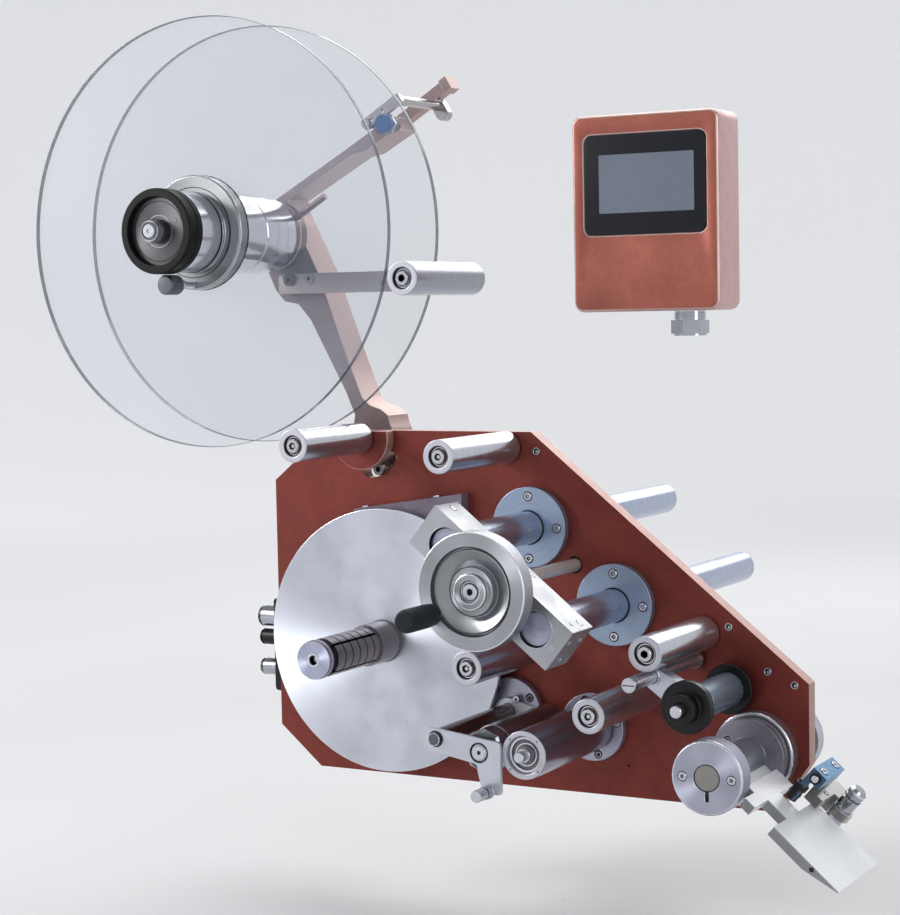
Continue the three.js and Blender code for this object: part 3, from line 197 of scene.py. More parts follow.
def satin(name, colour, rough, metal, stretch=None, grain=1800, depth=0.2, front=1.0):
    """Bare metal with a milled, ground or rolled grain. front darkens or lightens what faces along y; below
    1, as in every look here, it is painted shade.
    """
    look = Look(name)
    cloud = look.spread(look.noise(14.0, 3.0, 0.55), 0.3, 0.7)
    lines = look.noise(grain, 3.0, 0.6, stretch)
    smudge = look.noise(38.0, 6.0, 0.7)
    tone = look.mix(cloud, shade(colour, 0.88), shade(colour, 1.05))
    tone = look.mix(look.spread(lines, 0.4, 0.75, 0.0, 0.22), tone, shade(colour, 0.66))
    # Faces that look along y get a darker copy of the colour: painted shade
    if front != 1.0:
        front_painted_shade = look.mix(cloud, shade(colour, front * 0.8), shade(colour, front * 1.15))
        tone = look.mix(look.facing_sides(), front_painted_shade, tone)
    worn = look.spread(smudge, 0.35, 0.75, rough * 0.82, rough * 1.35)
    look.set(Base_Color=tone, Metallic=metal, Roughness=worn)
    look.bump(lines, depth, 0.00005)
    return look.material


def turned_metal(name, colour, rough, metal, lines, depth, anisotropic=0.0, tint=0.7,
                 centre=None, bands=0.06, hollow=None):
    """Metal from the lathe, with fine rings round its axis. Sides nearer to it than hollow, the walls and
    floors of slots and grooves, are painted black as shade.
    """
    look = Look(name)
    ring = look.rings(lines, centre)
    wide = look.rings(lines / 5, centre)
    smudge = look.noise(30.0, 5.0, 0.65)
    tone = look.mix(look.spread(wide, 0.35, 0.65), shade(colour, 1 - bands), shade(colour, 1 + bands / 2))
    tone = look.mix(look.spread(ring, 0.45, 0.8, 0.0, 0.3), tone, shade(colour, tint))
    # Painted shade: near black on sides inside the hollow radius
    if hollow:
        radius = look.turn_axis(centre)[0]
        deep = look.spread(radius, hollow * MM * 0.99, hollow * MM, 1.0, 0.0)
        tone = look.mix(look.math("MULTIPLY", deep, look.facing_sides()), tone, (0.012, 0.011, 0.012))
    worn = look.spread(smudge, 0.35, 0.75, rough * 0.88, rough * 1.25)
    look.set(Base_Color=tone, Metallic=metal, Roughness=worn)
    if anisotropic:
        tangent = look.node("Tangent", direction_type="RADIAL", axis="Y").outputs[0]
        look.set(Anisotropic=anisotropic, Tangent=tangent)
    look.bump(ring, depth, 0.00004)
    return look.material


def moulded(name, colour, rough, grain, depth, coat=0.0, front=1.0, patches=50.0, gloss=0.5):
    """Plastic, rubber or paint with a fine grain and rubbed places. front darkens what faces along y, as
    painted shade.
    """
    look = Look(name)
    fine = look.noise(grain, 3.0, 0.6)
    rubbed = look.noise(patches, 5.0, 0.7)
    tone = look.mix(look.spread(rubbed, 0.35, 0.75), shade(colour, 0.88), shade(colour, 1.14))
    # Faces that look along y get a darker copy of the colour: painted shade
    if front != 1.0:
        tone = look.mix(look.facing_sides(), shade(colour, front), tone)
    look.set(Base_Color=tone, Roughness=look.spread(rubbed, 0.3, 0.8, rough * 1.12, rough * 0.85))
    look.set(Coat_Weight=coat, Specular_IOR_Level=gloss)
    look.bump(fine, depth, 0.0001)
    return look.material


def acrylic(name, colour, alpha, rough):
    """Clear sheet with the haze of fine wiping scratches."""
    look = Look(name)
    scratch = look.noise(160, 6.0, 0.75, (1.0, 1.0, 9.0))
    haze = look.noise(6.0, 4.0, 0.6)
    tone = look.mix(look.spread(haze, 0.3, 0.7), shade(colour, 0.94), shade(colour, 1.04))
    look.set(Base_Color=tone, Roughness=look.spread(scratch, 0.4, 0.75, rough, rough * 2.2))
    look.set(Alpha=look.spread(scratch, 0.35, 0.8, alpha * 0.85, alpha * 1.25))
    look.material.blend_method = "BLEND"
    return look.material


# No metal's roughness crosses 0.274, where the denoiser would draw lines
# The second colour of each anodised look is painted light on its sides, top and bottom
RED = anodised("red_anodised", srgb(126, 52, 43), srgb(186, 150, 142))
ARM = anodised("arm_anodised", srgb(128, 112, 112), srgb(180, 154, 147), 0.38, 0.55)
CASE = anodised("case_anodised", srgb(163, 91, 76), srgb(214, 178, 174), 0.44, 0.45)
COVER = anodised("cover_anodised", srgb(128, 118, 130), srgb(150, 140, 150), 0.4, 0.6)
# Paler looks for broken edges, chamfers and rims: painted highlights
EDGE_HIGHLIGHT = satin("painted_edge_highlight", srgb(214, 186, 178), 0.34, 0.65)
WHITE_EDGE_HIGHLIGHT = satin("painted_white_edge_highlight", srgb(238, 240, 244), 0.2, 0.8)
SHAFT = turned_metal("blued_shaft", srgb(182, 191, 212), 0.21, 0.88, 900, 0.06)
SHAFT_END = turned_metal("shaft_end", srgb(186, 190, 212), 0.42, 0.75, 2200, 0.12, 0.9)
FLANGE = turned_metal("blued_flange", srgb(158, 173, 196), 0.34, 0.75, 1900, 0.12, 0.5)
LILAC_FLANGE = turned_metal("bare_flange", srgb(176, 176, 192), 0.36, 0.75, 1900, 0.12, 0.5)
ROLLER = turned_metal("bright_roller", srgb(206, 208, 215), 0.21, 0.92, 1200, 0.05)
# The dancer roller's steel is a darker copy of the roller steel: painted shade
SHADED_DANCER_ROLLER = turned_metal("dancer_roller_steel_painted_darker", srgb(158, 162, 170), 0.21, 0.95, 1200, 0.05)
ROLLER_END = turned_metal("roller_end", srgb(200, 200, 210), 0.38, 0.65, 1600, 0.12)
CHROME = turned_metal("polished_mandrel", srgb(216, 219, 226), 0.17, 0.9, 700, 0.05)
DRIVEN = turned_metal("ground_roller", srgb(150, 146, 160), 0.21, 0.85, 1500, 0.1)
NIPPED = turned_metal("polished_pressure", srgb(140, 128, 130), 0.21, 0.9, 1500, 0.1)
DISC = turned_metal("faced_disc", srgb(224, 228, 238), 0.46, 0.94, 5200, 0.06, 0.93, 0.9, bands=0.02)
WHEEL_METAL = turned_metal("turned_wheel", srgb(172, 174, 179), 0.38, 0.9, 2600, 0.14, 0.9)
SCREW = turned_metal("screw_steel", srgb(206, 208, 214), 0.21, 0.85, 3000, 0.1)
TOOL = turned_metal("tool_steel", srgb(120, 116, 118), 0.315, 0.9, 2600, 0.25, tint=0.5)
END_PLATE = turned_metal("faced_end_plate", srgb(98, 98, 100), 0.36, 0.85, 1500, 0.2, 0.7, 0.7)
# SLOTTED paints its slots and grooves black: painted shade
SLOTTED = turned_metal("slotted_steel", srgb(142, 134, 138), 0.21, 0.85, 2600, 0.2,
                       tint=0.6, centre=REWIND, hollow=17.1)
SHAFT_STEEL = turned_metal("brown_shaft", srgb(118, 100, 96), 0.21, 0.9, 1800, 0.15, tint=0.6, centre=NIP)
LEAD = turned_metal("lead_screw_steel", srgb(214, 210, 208), 0.21, 0.5, 900, 0.3, tint=0.5, centre=WHEEL)
ROD = turned_metal("press_rod_steel", srgb(200, 200, 208), 0.21, 0.85, 1200, 0.1)
CLAMP = turned_metal("clamp_ring_steel", srgb(152, 154, 157), 0.315, 0.9, 1900, 0.14, 0.7, 0.75, REEL)
PEEL_FACE = turned_metal("peel_clamp_face", srgb(184, 186, 202), 0.42, 0.8, 2200, 0.12, 0.9, 0.8, PEEL)
PEEL_DISC = turned_metal("peel_disc_face", srgb(142, 140, 150), 0.32, 0.85, 1900, 0.12, 0.7, 0.7)
SOCKET = turned_metal("peel_socket_steel", srgb(176, 174, 184), 0.34, 0.85, 1900, 0.12, 0.5, 0.7, PEEL)
TUBE = turned_metal("peel_tube_steel", srgb(150, 152, 160), 0.32, 0.8, 1400, 0.12)
CORE = satin("peel_core", srgb(150, 148, 144), 0.34, 0.95, (1.0, 1.0, 0.1), 1500)
SPOOL_STEEL = turned_metal("spool_steel", srgb(132, 148, 164), 0.34, 0.75, 1300, 0.1)
BROWN = turned_metal("browned_collar", srgb(124, 96, 90), 0.315, 0.85, 900, 0.1, centre=REEL)
# The last number of BRACKET, PEEL_SHEET and MILLED darkens their faces that look along y: painted shade
BRACKET = satin("milled_block", srgb(196, 198, 203), 0.34, 0.82, (1.0, 0.12, 1.0), 1800, 0.12, 0.74)
SHEET = satin("ground_sheet", srgb(206, 210, 220), 0.34, 0.8, (1.0, 0.06, 1.0), 1400)
PEEL_SHEET = satin("peel_plate_satin", srgb(246, 248, 250), 0.34, 0.38, (1.0, 0.05, 1.0), 2400, 0.04, 0.3)
MILLED = satin("milled_bracket", srgb(208, 208, 204), 0.34, 0.8, None, 1500, 0.15, 0.34)
PALE = satin("pale_aluminium", srgb(196, 184, 182), 0.38, 0.55)
FEELER = satin("feeler_metal", srgb(182, 177, 179), 0.2, 0.88)
STEEL = satin("plain_steel", srgb(170, 172, 178), 0.34, 0.9, (1.0, 0.1, 1.0))
BOLT = satin("dark_bolt", srgb(104, 106, 112), 0.34, 0.9)
PLATED = satin("plated_nut", srgb(178, 182, 189), 0.16, 0.95)
GLAND = satin("gland_plating", srgb(176, 180, 188), 0.14, 0.95)
RUBBER = moulded("black_rubber", srgb(13, 13, 15), 0.5, 900, 0.25, gloss=0.2)
PLASTIC = moulded("black_plastic", srgb(12, 13, 16), 0.34, 1600, 0.15, 0.08, gloss=0.3)
KNOB = moulded("soft_knob", srgb(26, 30, 37), 0.5, 1300, 0.3, gloss=0.25)
# Near black look: painted shade in sockets, holes, grooves and gaps, and the clamp ring's black rubber ring
PAINTED_SHADE_AND_RUBBER = moulded("painted_shade_and_black_rubber", srgb(12, 12, 14), 0.7, 800, 0.2)
# BLUE's front of 0.3 darkens the label sensor's faces that look along y: painted shade
BLUE = moulded("blue_moulding", srgb(98, 152, 196), 0.34, 1500, 0.2, 0.2, 0.3)
DEEP_BLUE = moulded("dark_blue_moulding", srgb(30, 92, 152), 0.34, 1500, 0.2, 0.2)
MOTOR = moulded("motor_coat", srgb(40, 41, 45), 0.5, 1400, 0.3)
BEZEL = moulded("bezel", srgb(22, 24, 32), 0.34, 1800, 0.1, gloss=0.25)
SCREEN = moulded("screen_glass", srgb(116, 124, 140), 0.34, 300, 0.02, patches=9.0)
CLEAR = acrylic("clear_disc", srgb(180, 192, 210), 0.1, 0.12)
RIM = acrylic("polished_rim", srgb(92, 102, 120), 0.85, 0.08)


# Meshes
def keep(name, mesh, body, looks, nodes, place=Vector((0, 0, 0))):
    piece = bpy.data.objects.new(name, mesh)
    bpy.context.scene.collection.objects.link(piece)
    piece.location = place
    for look in looks:
        mesh.materials.append(look)
    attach(piece, body)
    if nodes:
        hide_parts(*nodes)


def rounded_profile(points, radius, closed):
    """Points and outward normals of a profile whose corners are broken by small arcs."""
    points = [Vector(p) for p in points]
    area = sum(a.x * b.y - b.x * a.y for a, b in zip(points, points[1:] + points[:1]))
    if area < 0:
        points.reverse()
    count = len(points)

    def outward(a, b):
        step = (b - a).normalized()
        return Vector((step.y, -step.x))

    made = []
    for i, here in enumerate(points):
        first, last = not closed and i == 0, not closed and i == count - 1
        if first or last:
            made.append((here, Vector((0, 1 if first == (points[0].y > points[-1].y) else -1))))
            continue
        before, after = points[i - 1], points[(i + 1) % count]
        n0, n1 = outward(before, here), outward(here, after)
        turn = n0.angle(n1)
        if turn < math.radians(20):
            made.append((here, (n0 + n1).normalized()))
            continue
        reach = min(radius * math.tan(turn / 2), 0.42 * (here - before).length, 0.42 * (after - here).length)
        start = here + (before - here).normalized() * reach
        end = here + (after - here).normalized() * reach
        for step in range(4):
            s = step / 3
            point = start * (1 - s) ** 2 + here * (2 * s * (1 - s)) + end * s**2
            made.append((point, n0.lerp(n1, s).normalized()))
    return made


def turned(name, profile, centre, body, looks, nodes, radius, around=96, second=None, ribs=0,
           rib_depth=0.0):
    """A piece turned about y from (r, y) points. second says where its second look lies, ribs flute it."""
    closed = profile[0][0] > 0 or profile[-1][0] > 0
    ring = rounded_profile(profile, radius, closed)
    widest = max(p.x for p, _ in ring)
    verts, normals, rows = [], [], []
    for point, normal in ring:
        if point.x < 1e-6:
            rows.append([len(verts)])
            verts.append(Vector((0, point.y, 0)) * MM)
            normals.append(Vector((0, normal.y, 0)))
            continue
        rows.append(range(len(verts), len(verts) + around))
        for j in range(around):
            angle = 2 * math.pi * j / around
            reach = point.x
            if ribs and point.x > widest - 0.05:
                reach -= rib_depth * (0.5 - 0.5 * math.cos(angle * ribs))
            verts.append(Vector((reach * math.cos(angle), point.y, reach * math.sin(angle))) * MM)
            normals.append(Vector((normal.x * math.cos(angle), normal.y, normal.x * math.sin(angle))))
    faces, marks = [], []
    count = len(rows)
    for i in range(count if closed else count - 1):
        a, b = rows[i], rows[(i + 1) % count]
        pa, pb = ring[i][0], ring[(i + 1) % count][0]
        mark = int(second((pa.x + pb.x) / 2, (pa.y + pb.y) / 2)) if second else 0
        for j in range(around):
            k = (j + 1) % around
            if len(a) == 1 and len(b) == 1:
                break
            if len(a) == 1:
                faces.append((a[0], b[j], b[k]))
            elif len(b) == 1:
                faces.append((a[j], b[0], a[k]))
            else:
                faces.append((a[j], b[j], b[k], a[k]))
            marks.append(mark)
    mesh = bpy.data.meshes.new(name)
    mesh.from_pydata(verts, [], faces)
    mesh.polygons.foreach_set("use_smooth", [True] * len(faces))
    mesh.polygons.foreach_set("material_index", marks)
    if not ribs:
        mesh.normals_split_custom_set_from_vertices(normals)
    keep(name, mesh, body, looks, nodes, at(centre[0], 0, centre[1]))


class Form:
    """Small shapes that are collected until piece makes them one object."""

    def __init__(self):
        self.clear()

    def clear(self):
        self.verts, self.faces, self.marks = [], [], []

    def loft(self, rings, place, marks=None, hollow=False):
        """Joins rings one after another. A hollow form ends where it began, another is closed at its ends."""
        rows = []
        for ring in rings:
            rows.append(range(len(self.verts), len(self.verts) + len(ring)))
            self.verts += [place @ v for v in ring]
        if hollow:
            rows.append(rows[0])
        for i, (a, b) in enumerate(zip(rows, rows[1:])):
            count = max(len(a), len(b))
            for j in range(count):
                k = (j + 1) % count
                if len(a) == 1:
                    self.faces.append((a[0], b[k], b[j]))
                elif len(b) == 1:
                    self.faces.append((a[j], a[k], b[0]))
                else:
                    self.faces.append((a[j], a[k], b[k], b[j]))
                self.marks.append(marks[i] if marks else 0)
        for end in (0, -1):
            if not hollow and len(rows[end]) > 1:
                self.faces.append(tuple(rows[end]))
                self.marks.append(marks[end] if marks else 0)

    def piece(self, name, body, slot, looks, nodes=(), angle=32):
        """Its faces point out, and edges sharper than the angle stay sharp."""
        mesh = bpy.data.meshes.new(name)
        mesh.from_pydata([v * MM for v in self.verts], [], self.faces)
        mesh.polygons.foreach_set("material_index", self.marks)
        work = bmesh.new()
        work.from_mesh(mesh)
        bmesh.ops.recalc_face_normals(work, faces=work.faces)
        work.to_mesh(mesh)
        work.free()
        mesh.polygons.foreach_set("use_smooth", [True] * len(mesh.polygons))
        mesh.set_sharp_from_angle(angle=math.radians(angle))
        keep(name, mesh, body, looks, nodes)
        self.clear()

    def fittings(self, name, body):
        """A piece of bright screws and rings, whose second look is black, painted shade in sockets, holes and
        gaps.
        """
        self.piece(name, body, "bright_steel", [SCREW, PAINTED_SHADE_AND_RUBBER])


def ring_at(y, radius, sides=0, count=24, turn=0.0):
    """A round ring, or one with flat sides whose corners lie at the radius."""
    made = []
    for j in range(count):
        angle = 2 * math.pi * j / count
        reach = radius
        if sides:
            part = math.pi / sides
            reach = radius * math.cos(part) / math.cos((angle % (2 * part)) - part)
        made.append(Vector((reach * math.cos(angle + turn), y, reach * math.sin(angle + turn))))
    return made


def spot(x, y, z, turn=Matrix.Identity(4)):
    return Matrix.Translation((x, y - PLATE_FACE, z)) @ turn


def on_axis(centre, y=0):
    return spot(centre[0], y, centre[1])


def beside(centre, radius, degrees, y=0, turn=Matrix.Identity(4)):
    """A place at the radius from an axis along y."""
    a = math.radians(degrees)
    return spot(centre[0] + radius * math.cos(a), y, centre[1] + radius * math.sin(a), turn)


def turn_by(degrees, about):
    return Matrix.Rotation(math.radians(degrees), 4, about)


def leaning(centre, degrees):
    """Gives a function for places on a part that leans about y: along it, y and across it."""
    base = on_axis(centre) @ turn_by(degrees, "Y")

    def place(along, y, across, turn=Matrix.Identity(4)):
        return base @ Matrix.Translation((along, y, across)) @ turn

    return place


# Turns of a form, which faces -y, to another side
UP = turn_by(-90, "X")
RIGHT = turn_by(90, "Z")
LEFT = turn_by(-90, "Z")
BEHIND = turn_by(180, "Z")
SOCKET_SIDES = 6
QUARTERS = (45, 135, 225, 315)


def screw(form, place, radius, height, socket=0.5, collar=0.0, turn=0.3, depth=None, head=0):
    """A socket screw that stands out towards -y. Its socket, and with a collar a ring round it where it sits
    in a counterbore, take the piece's second look, mostly black painted shade.
    """
    lip = min(0.35, radius * 0.14)
    if collar:
        tube(form, place, radius + collar, radius - 0.1, -0.09, 0.05, 1, 24, 0.02)
    depth = depth or height * 0.8
    form.loft(
        [
            ring_at(0, radius),
            ring_at(lip - height, radius),
            ring_at(-height, radius - lip),
            ring_at(-height, radius * socket + 0.12, SOCKET_SIDES, turn=turn),
            ring_at(0.12 - height, radius * socket, SOCKET_SIDES, turn=turn),
            ring_at(depth - height, radius * socket, SOCKET_SIDES, turn=turn),
            [Vector((0, depth - height + radius * 0.1, 0))],
        ],
        place,
        [head] * 4 + [1, 1],
    )


def tube(form, place, outer, inner, front, back, mark=0, count=32, lip=0.25, sides=0):
    """A ring from front to back with broken edges."""
    form.loft(
        [
            ring_at(back, inner, count=count),
            ring_at(front + lip, inner, count=count),
            ring_at(front, inner + lip, count=count),
            ring_at(front, outer - lip, sides, count),
            ring_at(front + lip, outer, sides, count),
            ring_at(back, outer, sides, count),
        ],
        place,
        [mark] * 6,
        True,
    )


def stub(form, place, radius, front, back, mark=0, count=24, lip=0.3, sides=0):
    """A solid round or many-sided pin with a broken front edge."""
    form.loft(
        [
            ring_at(back, radius, sides, count),
            ring_at(front + lip, radius, sides, count),
            ring_at(front, radius - lip, sides, count),
            [Vector((0, front, 0))],
        ],
        place,
        [mark] * 3,
    )


def recess(form, place, radius):
    """A deep counterbore in a face that looks towards -y, drawn flat: a black disc is its painted shade, a
    bright ring the lit edge of its mouth, a painted highlight, and a small ring inside a painted glint.
    """
    tube(form, place, radius + 0.35, radius, -0.1, 0.05, 0, 32, 0.04)
    stub(form, place, radius, -0.05, 0.05, 1, 32, 0.02)
    painted_glint = place @ Matrix.Translation((0.2, 0, -0.3))
    tube(form, painted_glint, radius * 0.62, radius * 0.5, -0.08, 0.02, 0, 24, 0.02)


def slabs(form, place, outline, low, high, mark, lip):
    """An outline in x and z, raised along y, with a broken front edge. low is the front."""
    middle = sum((Vector((x, 0, z)) for x, z in outline), Vector()) / len(outline)

    def inset(by, y):
        made = []
        for x, z in outline:
            away = Vector((x, 0, z)) - middle
            made.append(middle + away * (1 - by / max(away.length, by * 2)) + Vector((0, y, 0)))
        return made

    form.loft([inset(0, high), inset(0, low + lip), inset(lip * 1.4, low)], place, [mark] * 2)


def rounded_box(wide, high, corner):
    made = []
    steps = 5
    for sx, sz, start in ((1, 1, 0), (-1, 1, 90), (-1, -1, 180), (1, -1, 270)):
        for i in range(steps + 1):
            angle = math.radians(start + 90 * i / steps)
            x = sx * (wide / 2 - corner) + corner * math.cos(angle)
            z = sz * (high / 2 - corner) + corner * math.sin(angle)
            made.append((x, z))
    return made


def box_ring(wide, high, corner, inset, y, lift=0.0):
    """A box's outline with round corners, drawn in by the inset, at y and lifted along z."""
    outline = rounded_box(wide - 2 * inset, high - 2 * inset, max(corner - inset, 0.6))
    return [Vector((x, y, z + lift)) for x, z in outline]


def eased(wide, high, corner, front, radius, steps=5, lift=0.0):
    """Rings of a front edge that is rounded by the radius, from the side to the front face."""
    made = []
    for i in range(steps + 1):
        a = math.pi / 2 * i / steps
        inset = radius * (1 - math.cos(a))
        made.append(box_ring(wide, high, corner, inset, front + radius * (1 - math.sin(a)), lift))
    return made


# CAD nodes that keep their shape: broken edges, most with a painted highlight, and their finish
def dress(node, looks, width):
    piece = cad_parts[node]
    mesh = piece.data
    if "custom_normal" in mesh.attributes:
        mesh.attributes.remove(mesh.attributes["custom_normal"])
    mesh.materials.clear()
    for look in looks:
        mesh.materials.append(look)
    mesh.polygons.foreach_set("material_index", [0] * len(mesh.polygons))
    mesh.polygons.foreach_set("use_smooth", [True] * len(mesh.polygons))
    weld = piece.modifiers.new("weld", "WELD")
    weld.merge_threshold = 0.00001
    flats = piece.modifiers.new("flats", "DECIMATE")
    flats.decimate_type = "DISSOLVE"
    flats.angle_limit = math.radians(0.6)
    bevel = piece.modifiers.new("edges", "BEVEL")
    bevel.width = width * MM
    bevel.segments = 2
    bevel.limit_method = "ANGLE"
    bevel.angle_limit = math.radians(33.5)
    bevel.harden_normals = True
    bevel.use_clamp_overlap = True
    # The bevel's faces take the last look, on most nodes a painted edge highlight
    bevel.material = len(looks) - 1


# Each node, the width of its broken edges and its looks
for node, width, *looks in (
    ("main_plate", 0.6, RED, EDGE_HIGHLIGHT),
    ("pivot_boss", 0.5, RED, EDGE_HIGHLIGHT),
    ("unwinder_arm", 0.6, ARM, EDGE_HIGHLIGHT),
    ("feeler_bar", 0.4, ARM, EDGE_HIGHLIGHT),
    ("feeler_frame", 0.4, FEELER, WHITE_EDGE_HIGHLIGHT),
    ("end_bracket", 0.5, BRACKET, WHITE_EDGE_HIGHLIGHT),
    ("lead_screw", 0.4, LEAD),
    ("lead_nut", 0.4, STEEL),
    ("rewind_mandrel", 0.2, SLOTTED),
    ("rewind_belt", 0.3, RUBBER),
    ("rewind_bearing", 0.4, FLANGE),
    ("rewind_pulley", 0.3, PLASTIC),
    ("drive_pulley", 0.3, PLASTIC),
    ("drive_motor", 0.8, MOTOR, STEEL),
    ("nip_lever", 0.4, SHEET, WHITE_EDGE_HIGHLIGHT),
    ("nip_shaft", 0.3, SHAFT_STEEL),
    ("press_arm", 0.4, SHEET, WHITE_EDGE_HIGHLIGHT),
    ("junction_box", 0.8, PLASTIC),
    ("peel_clamp", 0.4, PEEL_FACE, WHITE_EDGE_HIGHLIGHT),
    ("peel_socket", 0.5, SOCKET, WHITE_EDGE_HIGHLIGHT),
    ("peel_plate", 0.35, PEEL_SHEET, WHITE_EDGE_HIGHLIGHT),
    ("label_sensor", 0.5, BLUE),
    ("sensor_bracket", 0.4, MILLED, WHITE_EDGE_HIGHLIGHT),
    ("sensor_post", 0.3, PLATED),
    ("clamp_ring", 0.4, CLAMP, WHITE_EDGE_HIGHLIGHT),
    ("brake_collar", 0.5, BROWN),
    ("terminal_gland", 0.5, GLAND),
):
    dress(node, looks, width)


form = Form()

# Guide shafts and flanges
FLANGE_FACE = -8.35
for name, centre in SHAFTS.items():
    turned(f"guide_shaft_{name}_ground", [(0, -160.5), (15, -160.5), (15, 300), (0, 300)], centre,
           "guide_frame", [SHAFT, SHAFT_END], [f"guide_shaft_{name}"], 1.2, 96,
           lambda r, y: y < -160.2)
    turned(f"bush_{name}_turned", [(15.3, -8.3), (37, -8.3), (37, -0.3), (22, -0.3), (22, 45), (15.3, 45)],
           centre, "carriage", [FLANGE], [f"bush_{name}"], 0.9)
    for angle in (90, 0, -90, 180):
        screw(form, beside(centre, 28.4, angle, FLANGE_FACE), 3.7, 0.7, collar=0.9, turn=angle, depth=0.6)
    # A black ring round the shaft at the flange's face: painted shade in the gap
    tube(form, on_axis(centre), 15.9, 15.1, -8.75, -8.2, 1, 64, 0.1)
    form.fittings(f"bush_{name}_screws", "carriage")

for name, centre, start in (("drive", DRIVE, 104), ("nip", NIP, 34)):
    turned(f"{name}_bearing_turned", [(8.3, -8.3), (31, -8.3), (31, -0.3), (16, -0.3), (16, 22), (8.3, 22)],
           centre, "carriage", [LILAC_FLANGE], [f"{name}_bearing"], 0.9)
    for i in range(4):
        angle = start - 90 * i
        place = beside(centre, 25, angle, FLANGE_FACE)
        if name == "drive" and i == 1:
            screw(form, place, 3.7, 0.8, collar=0.9, turn=math.radians(angle), depth=0.6)
        else:
            recess(form, place, 4.1)
    form.fittings(f"{name}_bearing_screws", "carriage")

# Idle rollers: tube, mouth, bearing and the axle's screw
for node, body, holder, centre, front, back in (
    ("roller_top_left", "idler_top_left", "carriage", (-175, 79.5), -128, -13.5),
    ("roller_top_middle", "idler_top_middle", "carriage", (-25.2, 72.1), -128, -1.5),
    ("roller_right", "idler_right", "carriage", (167, -88.1), -128, -1.5),
    ("roller_lower", "idler_lower", "carriage", (114.3, -144.2), -128, -1.5),
    ("roller_middle", "idler_middle", "carriage", (-1.6, -111.1), -128, -1.5),
    ("dancer_roller", "web_roller", "reel_arm", DANCER, -124, 1.8),
):
    profile = [(5.3, front + 4), (9.6, front + 4), (9.6, front), (15, front), (15, back), (5.3, back)]
    outside = SHADED_DANCER_ROLLER if centre == DANCER else ROLLER
    turned(f"{node}_tube", profile, centre, body, [outside, ROLLER_END], [node], 0.9, 96,
           lambda r, y: y < front + 0.5 and r > 9 or y < front + 4.5 and r < 9.7)
    place = on_axis(centre)
    # Black rings at the mouth and round the bearing are painted shade in the gaps
    tube(form, place, 9.5, 8.9, front + 0.6, front + 4.1, 1, 48, 0.1)
    tube(form, place, 8.8, 7.4, front + 2.6, front + 4.1)
    tube(form, place, 7.5, 6.7, front + 3.5, front + 4.1, 1)
    form.fittings(f"{node}_bearing_ring", body)
    screw(form, on_axis(centre, front + 0.65), 6.1, 1.5, 0.56, turn=centre[0])
    form.fittings(f"{node}_axle_screw", holder)

# Handwheel
# The boss's chamfer ring and the rim's edge take the white edge look: painted highlight
turned("handwheel_turned",
       [(6.3, -193.5), (9.2, -193.5), (9.2, -199.5), (15.2, -199.5), (15.2, -195), (21, -195), (21, -188.5),
        (35, -195.5), (35, -192.5), (37, -192.5), (37, -197.5), (50, -197.5), (50, -180.5), (16, -180.5),
        (16, -163.8), (6.3, -163.8)],
       WHEEL, "handwheel_screw", [WHEEL_METAL, WHITE_EDGE_HIGHLIGHT], ["handwheel"], 1.1, 160,
       lambda r, y: 13.6 < r < 15.2 and y < -198 or r > 49.2 and y < -196)
hub = on_axis(WHEEL)
# Black rings at the dish's steps are painted shade
tube(form, hub, 20.9, 20.2, -195.2, -194.9, 1, 64, 0.05)
tube(form, hub, 37.5, 36.8, -197.7, -197.3, 1, 96, 0.05)
tube(form, hub, 9.15, 7.5, -197.6, -193.4, 0, 48, 0.5)
screw(form, on_axis(WHEEL, -193.6), 6.8, 4.9, 0.46, turn=0.6, depth=2.2)
reach, angle = 40, math.radians(210)
pin = (WHEEL[0] + reach * math.cos(angle), WHEEL[1] + reach * math.sin(angle))
stub(form, on_axis(pin), 4, -238, -181.7)
tube(form, on_axis(pin), 7.5, 4.2, -198.6, -197.4)
form.fittings("handwheel_bolt", "handwheel_screw")
turned("crank_knob_moulded",
       [(4.3, -199), (8.2, -199), (9.4, -203), (10, -212), (10, -243), (9.2, -246.4), (7.6, -247), (0, -247),
        (0, -239.3), (4.3, -239.3)],
       pin, "crank_grip", [KNOB], ["crank_knob"], 0.8)

# End bracket's screws and the lit edges of its bores
lean, half_length, half_width = 38.66, 82, 21
on_bracket = leaning(WHEEL, lean)
for along, y, radius in (
    (-75, -141.5, 3.1), (-42, -149.5, 2.4), (14.5, -132, 2.6), (74, -138.5, 3.0), (73, -152.5, 1.4)
):
    screw(form, on_bracket(along, y, half_width, UP), radius, 0.35, 0.6, 0.5, 0.4, 0.3)
for y, across in ((-155, 8), (-134, 8), (-146, -12)):
    screw(form, on_bracket(half_length, y, across, RIGHT), 2.8, 0.9, 0.55, 0.5, 0.4)
for along, across in ((-74.9, 0.5), (75, -2)):
    tube(form, on_bracket(along, 0, across, turn_by(-lean, "Y")), 1.9, 1.3, -163.75, -163.4, 0, 20, 0.05)
for centre in SHAFTS.values():
    # Bright rings are painted highlights on the bores' edges, the black ring inside painted shade round the
    # shaft's end
    tube(form, on_axis(centre), 16.2, 15.4, -163.8, -163.3, 0, 64, 0.15)
    tube(form, on_axis(centre), 15.5, 15.05, -163.6, -160.4, 1, 64, 0.05)
form.fittings("end_bracket_screws", "guide_frame")

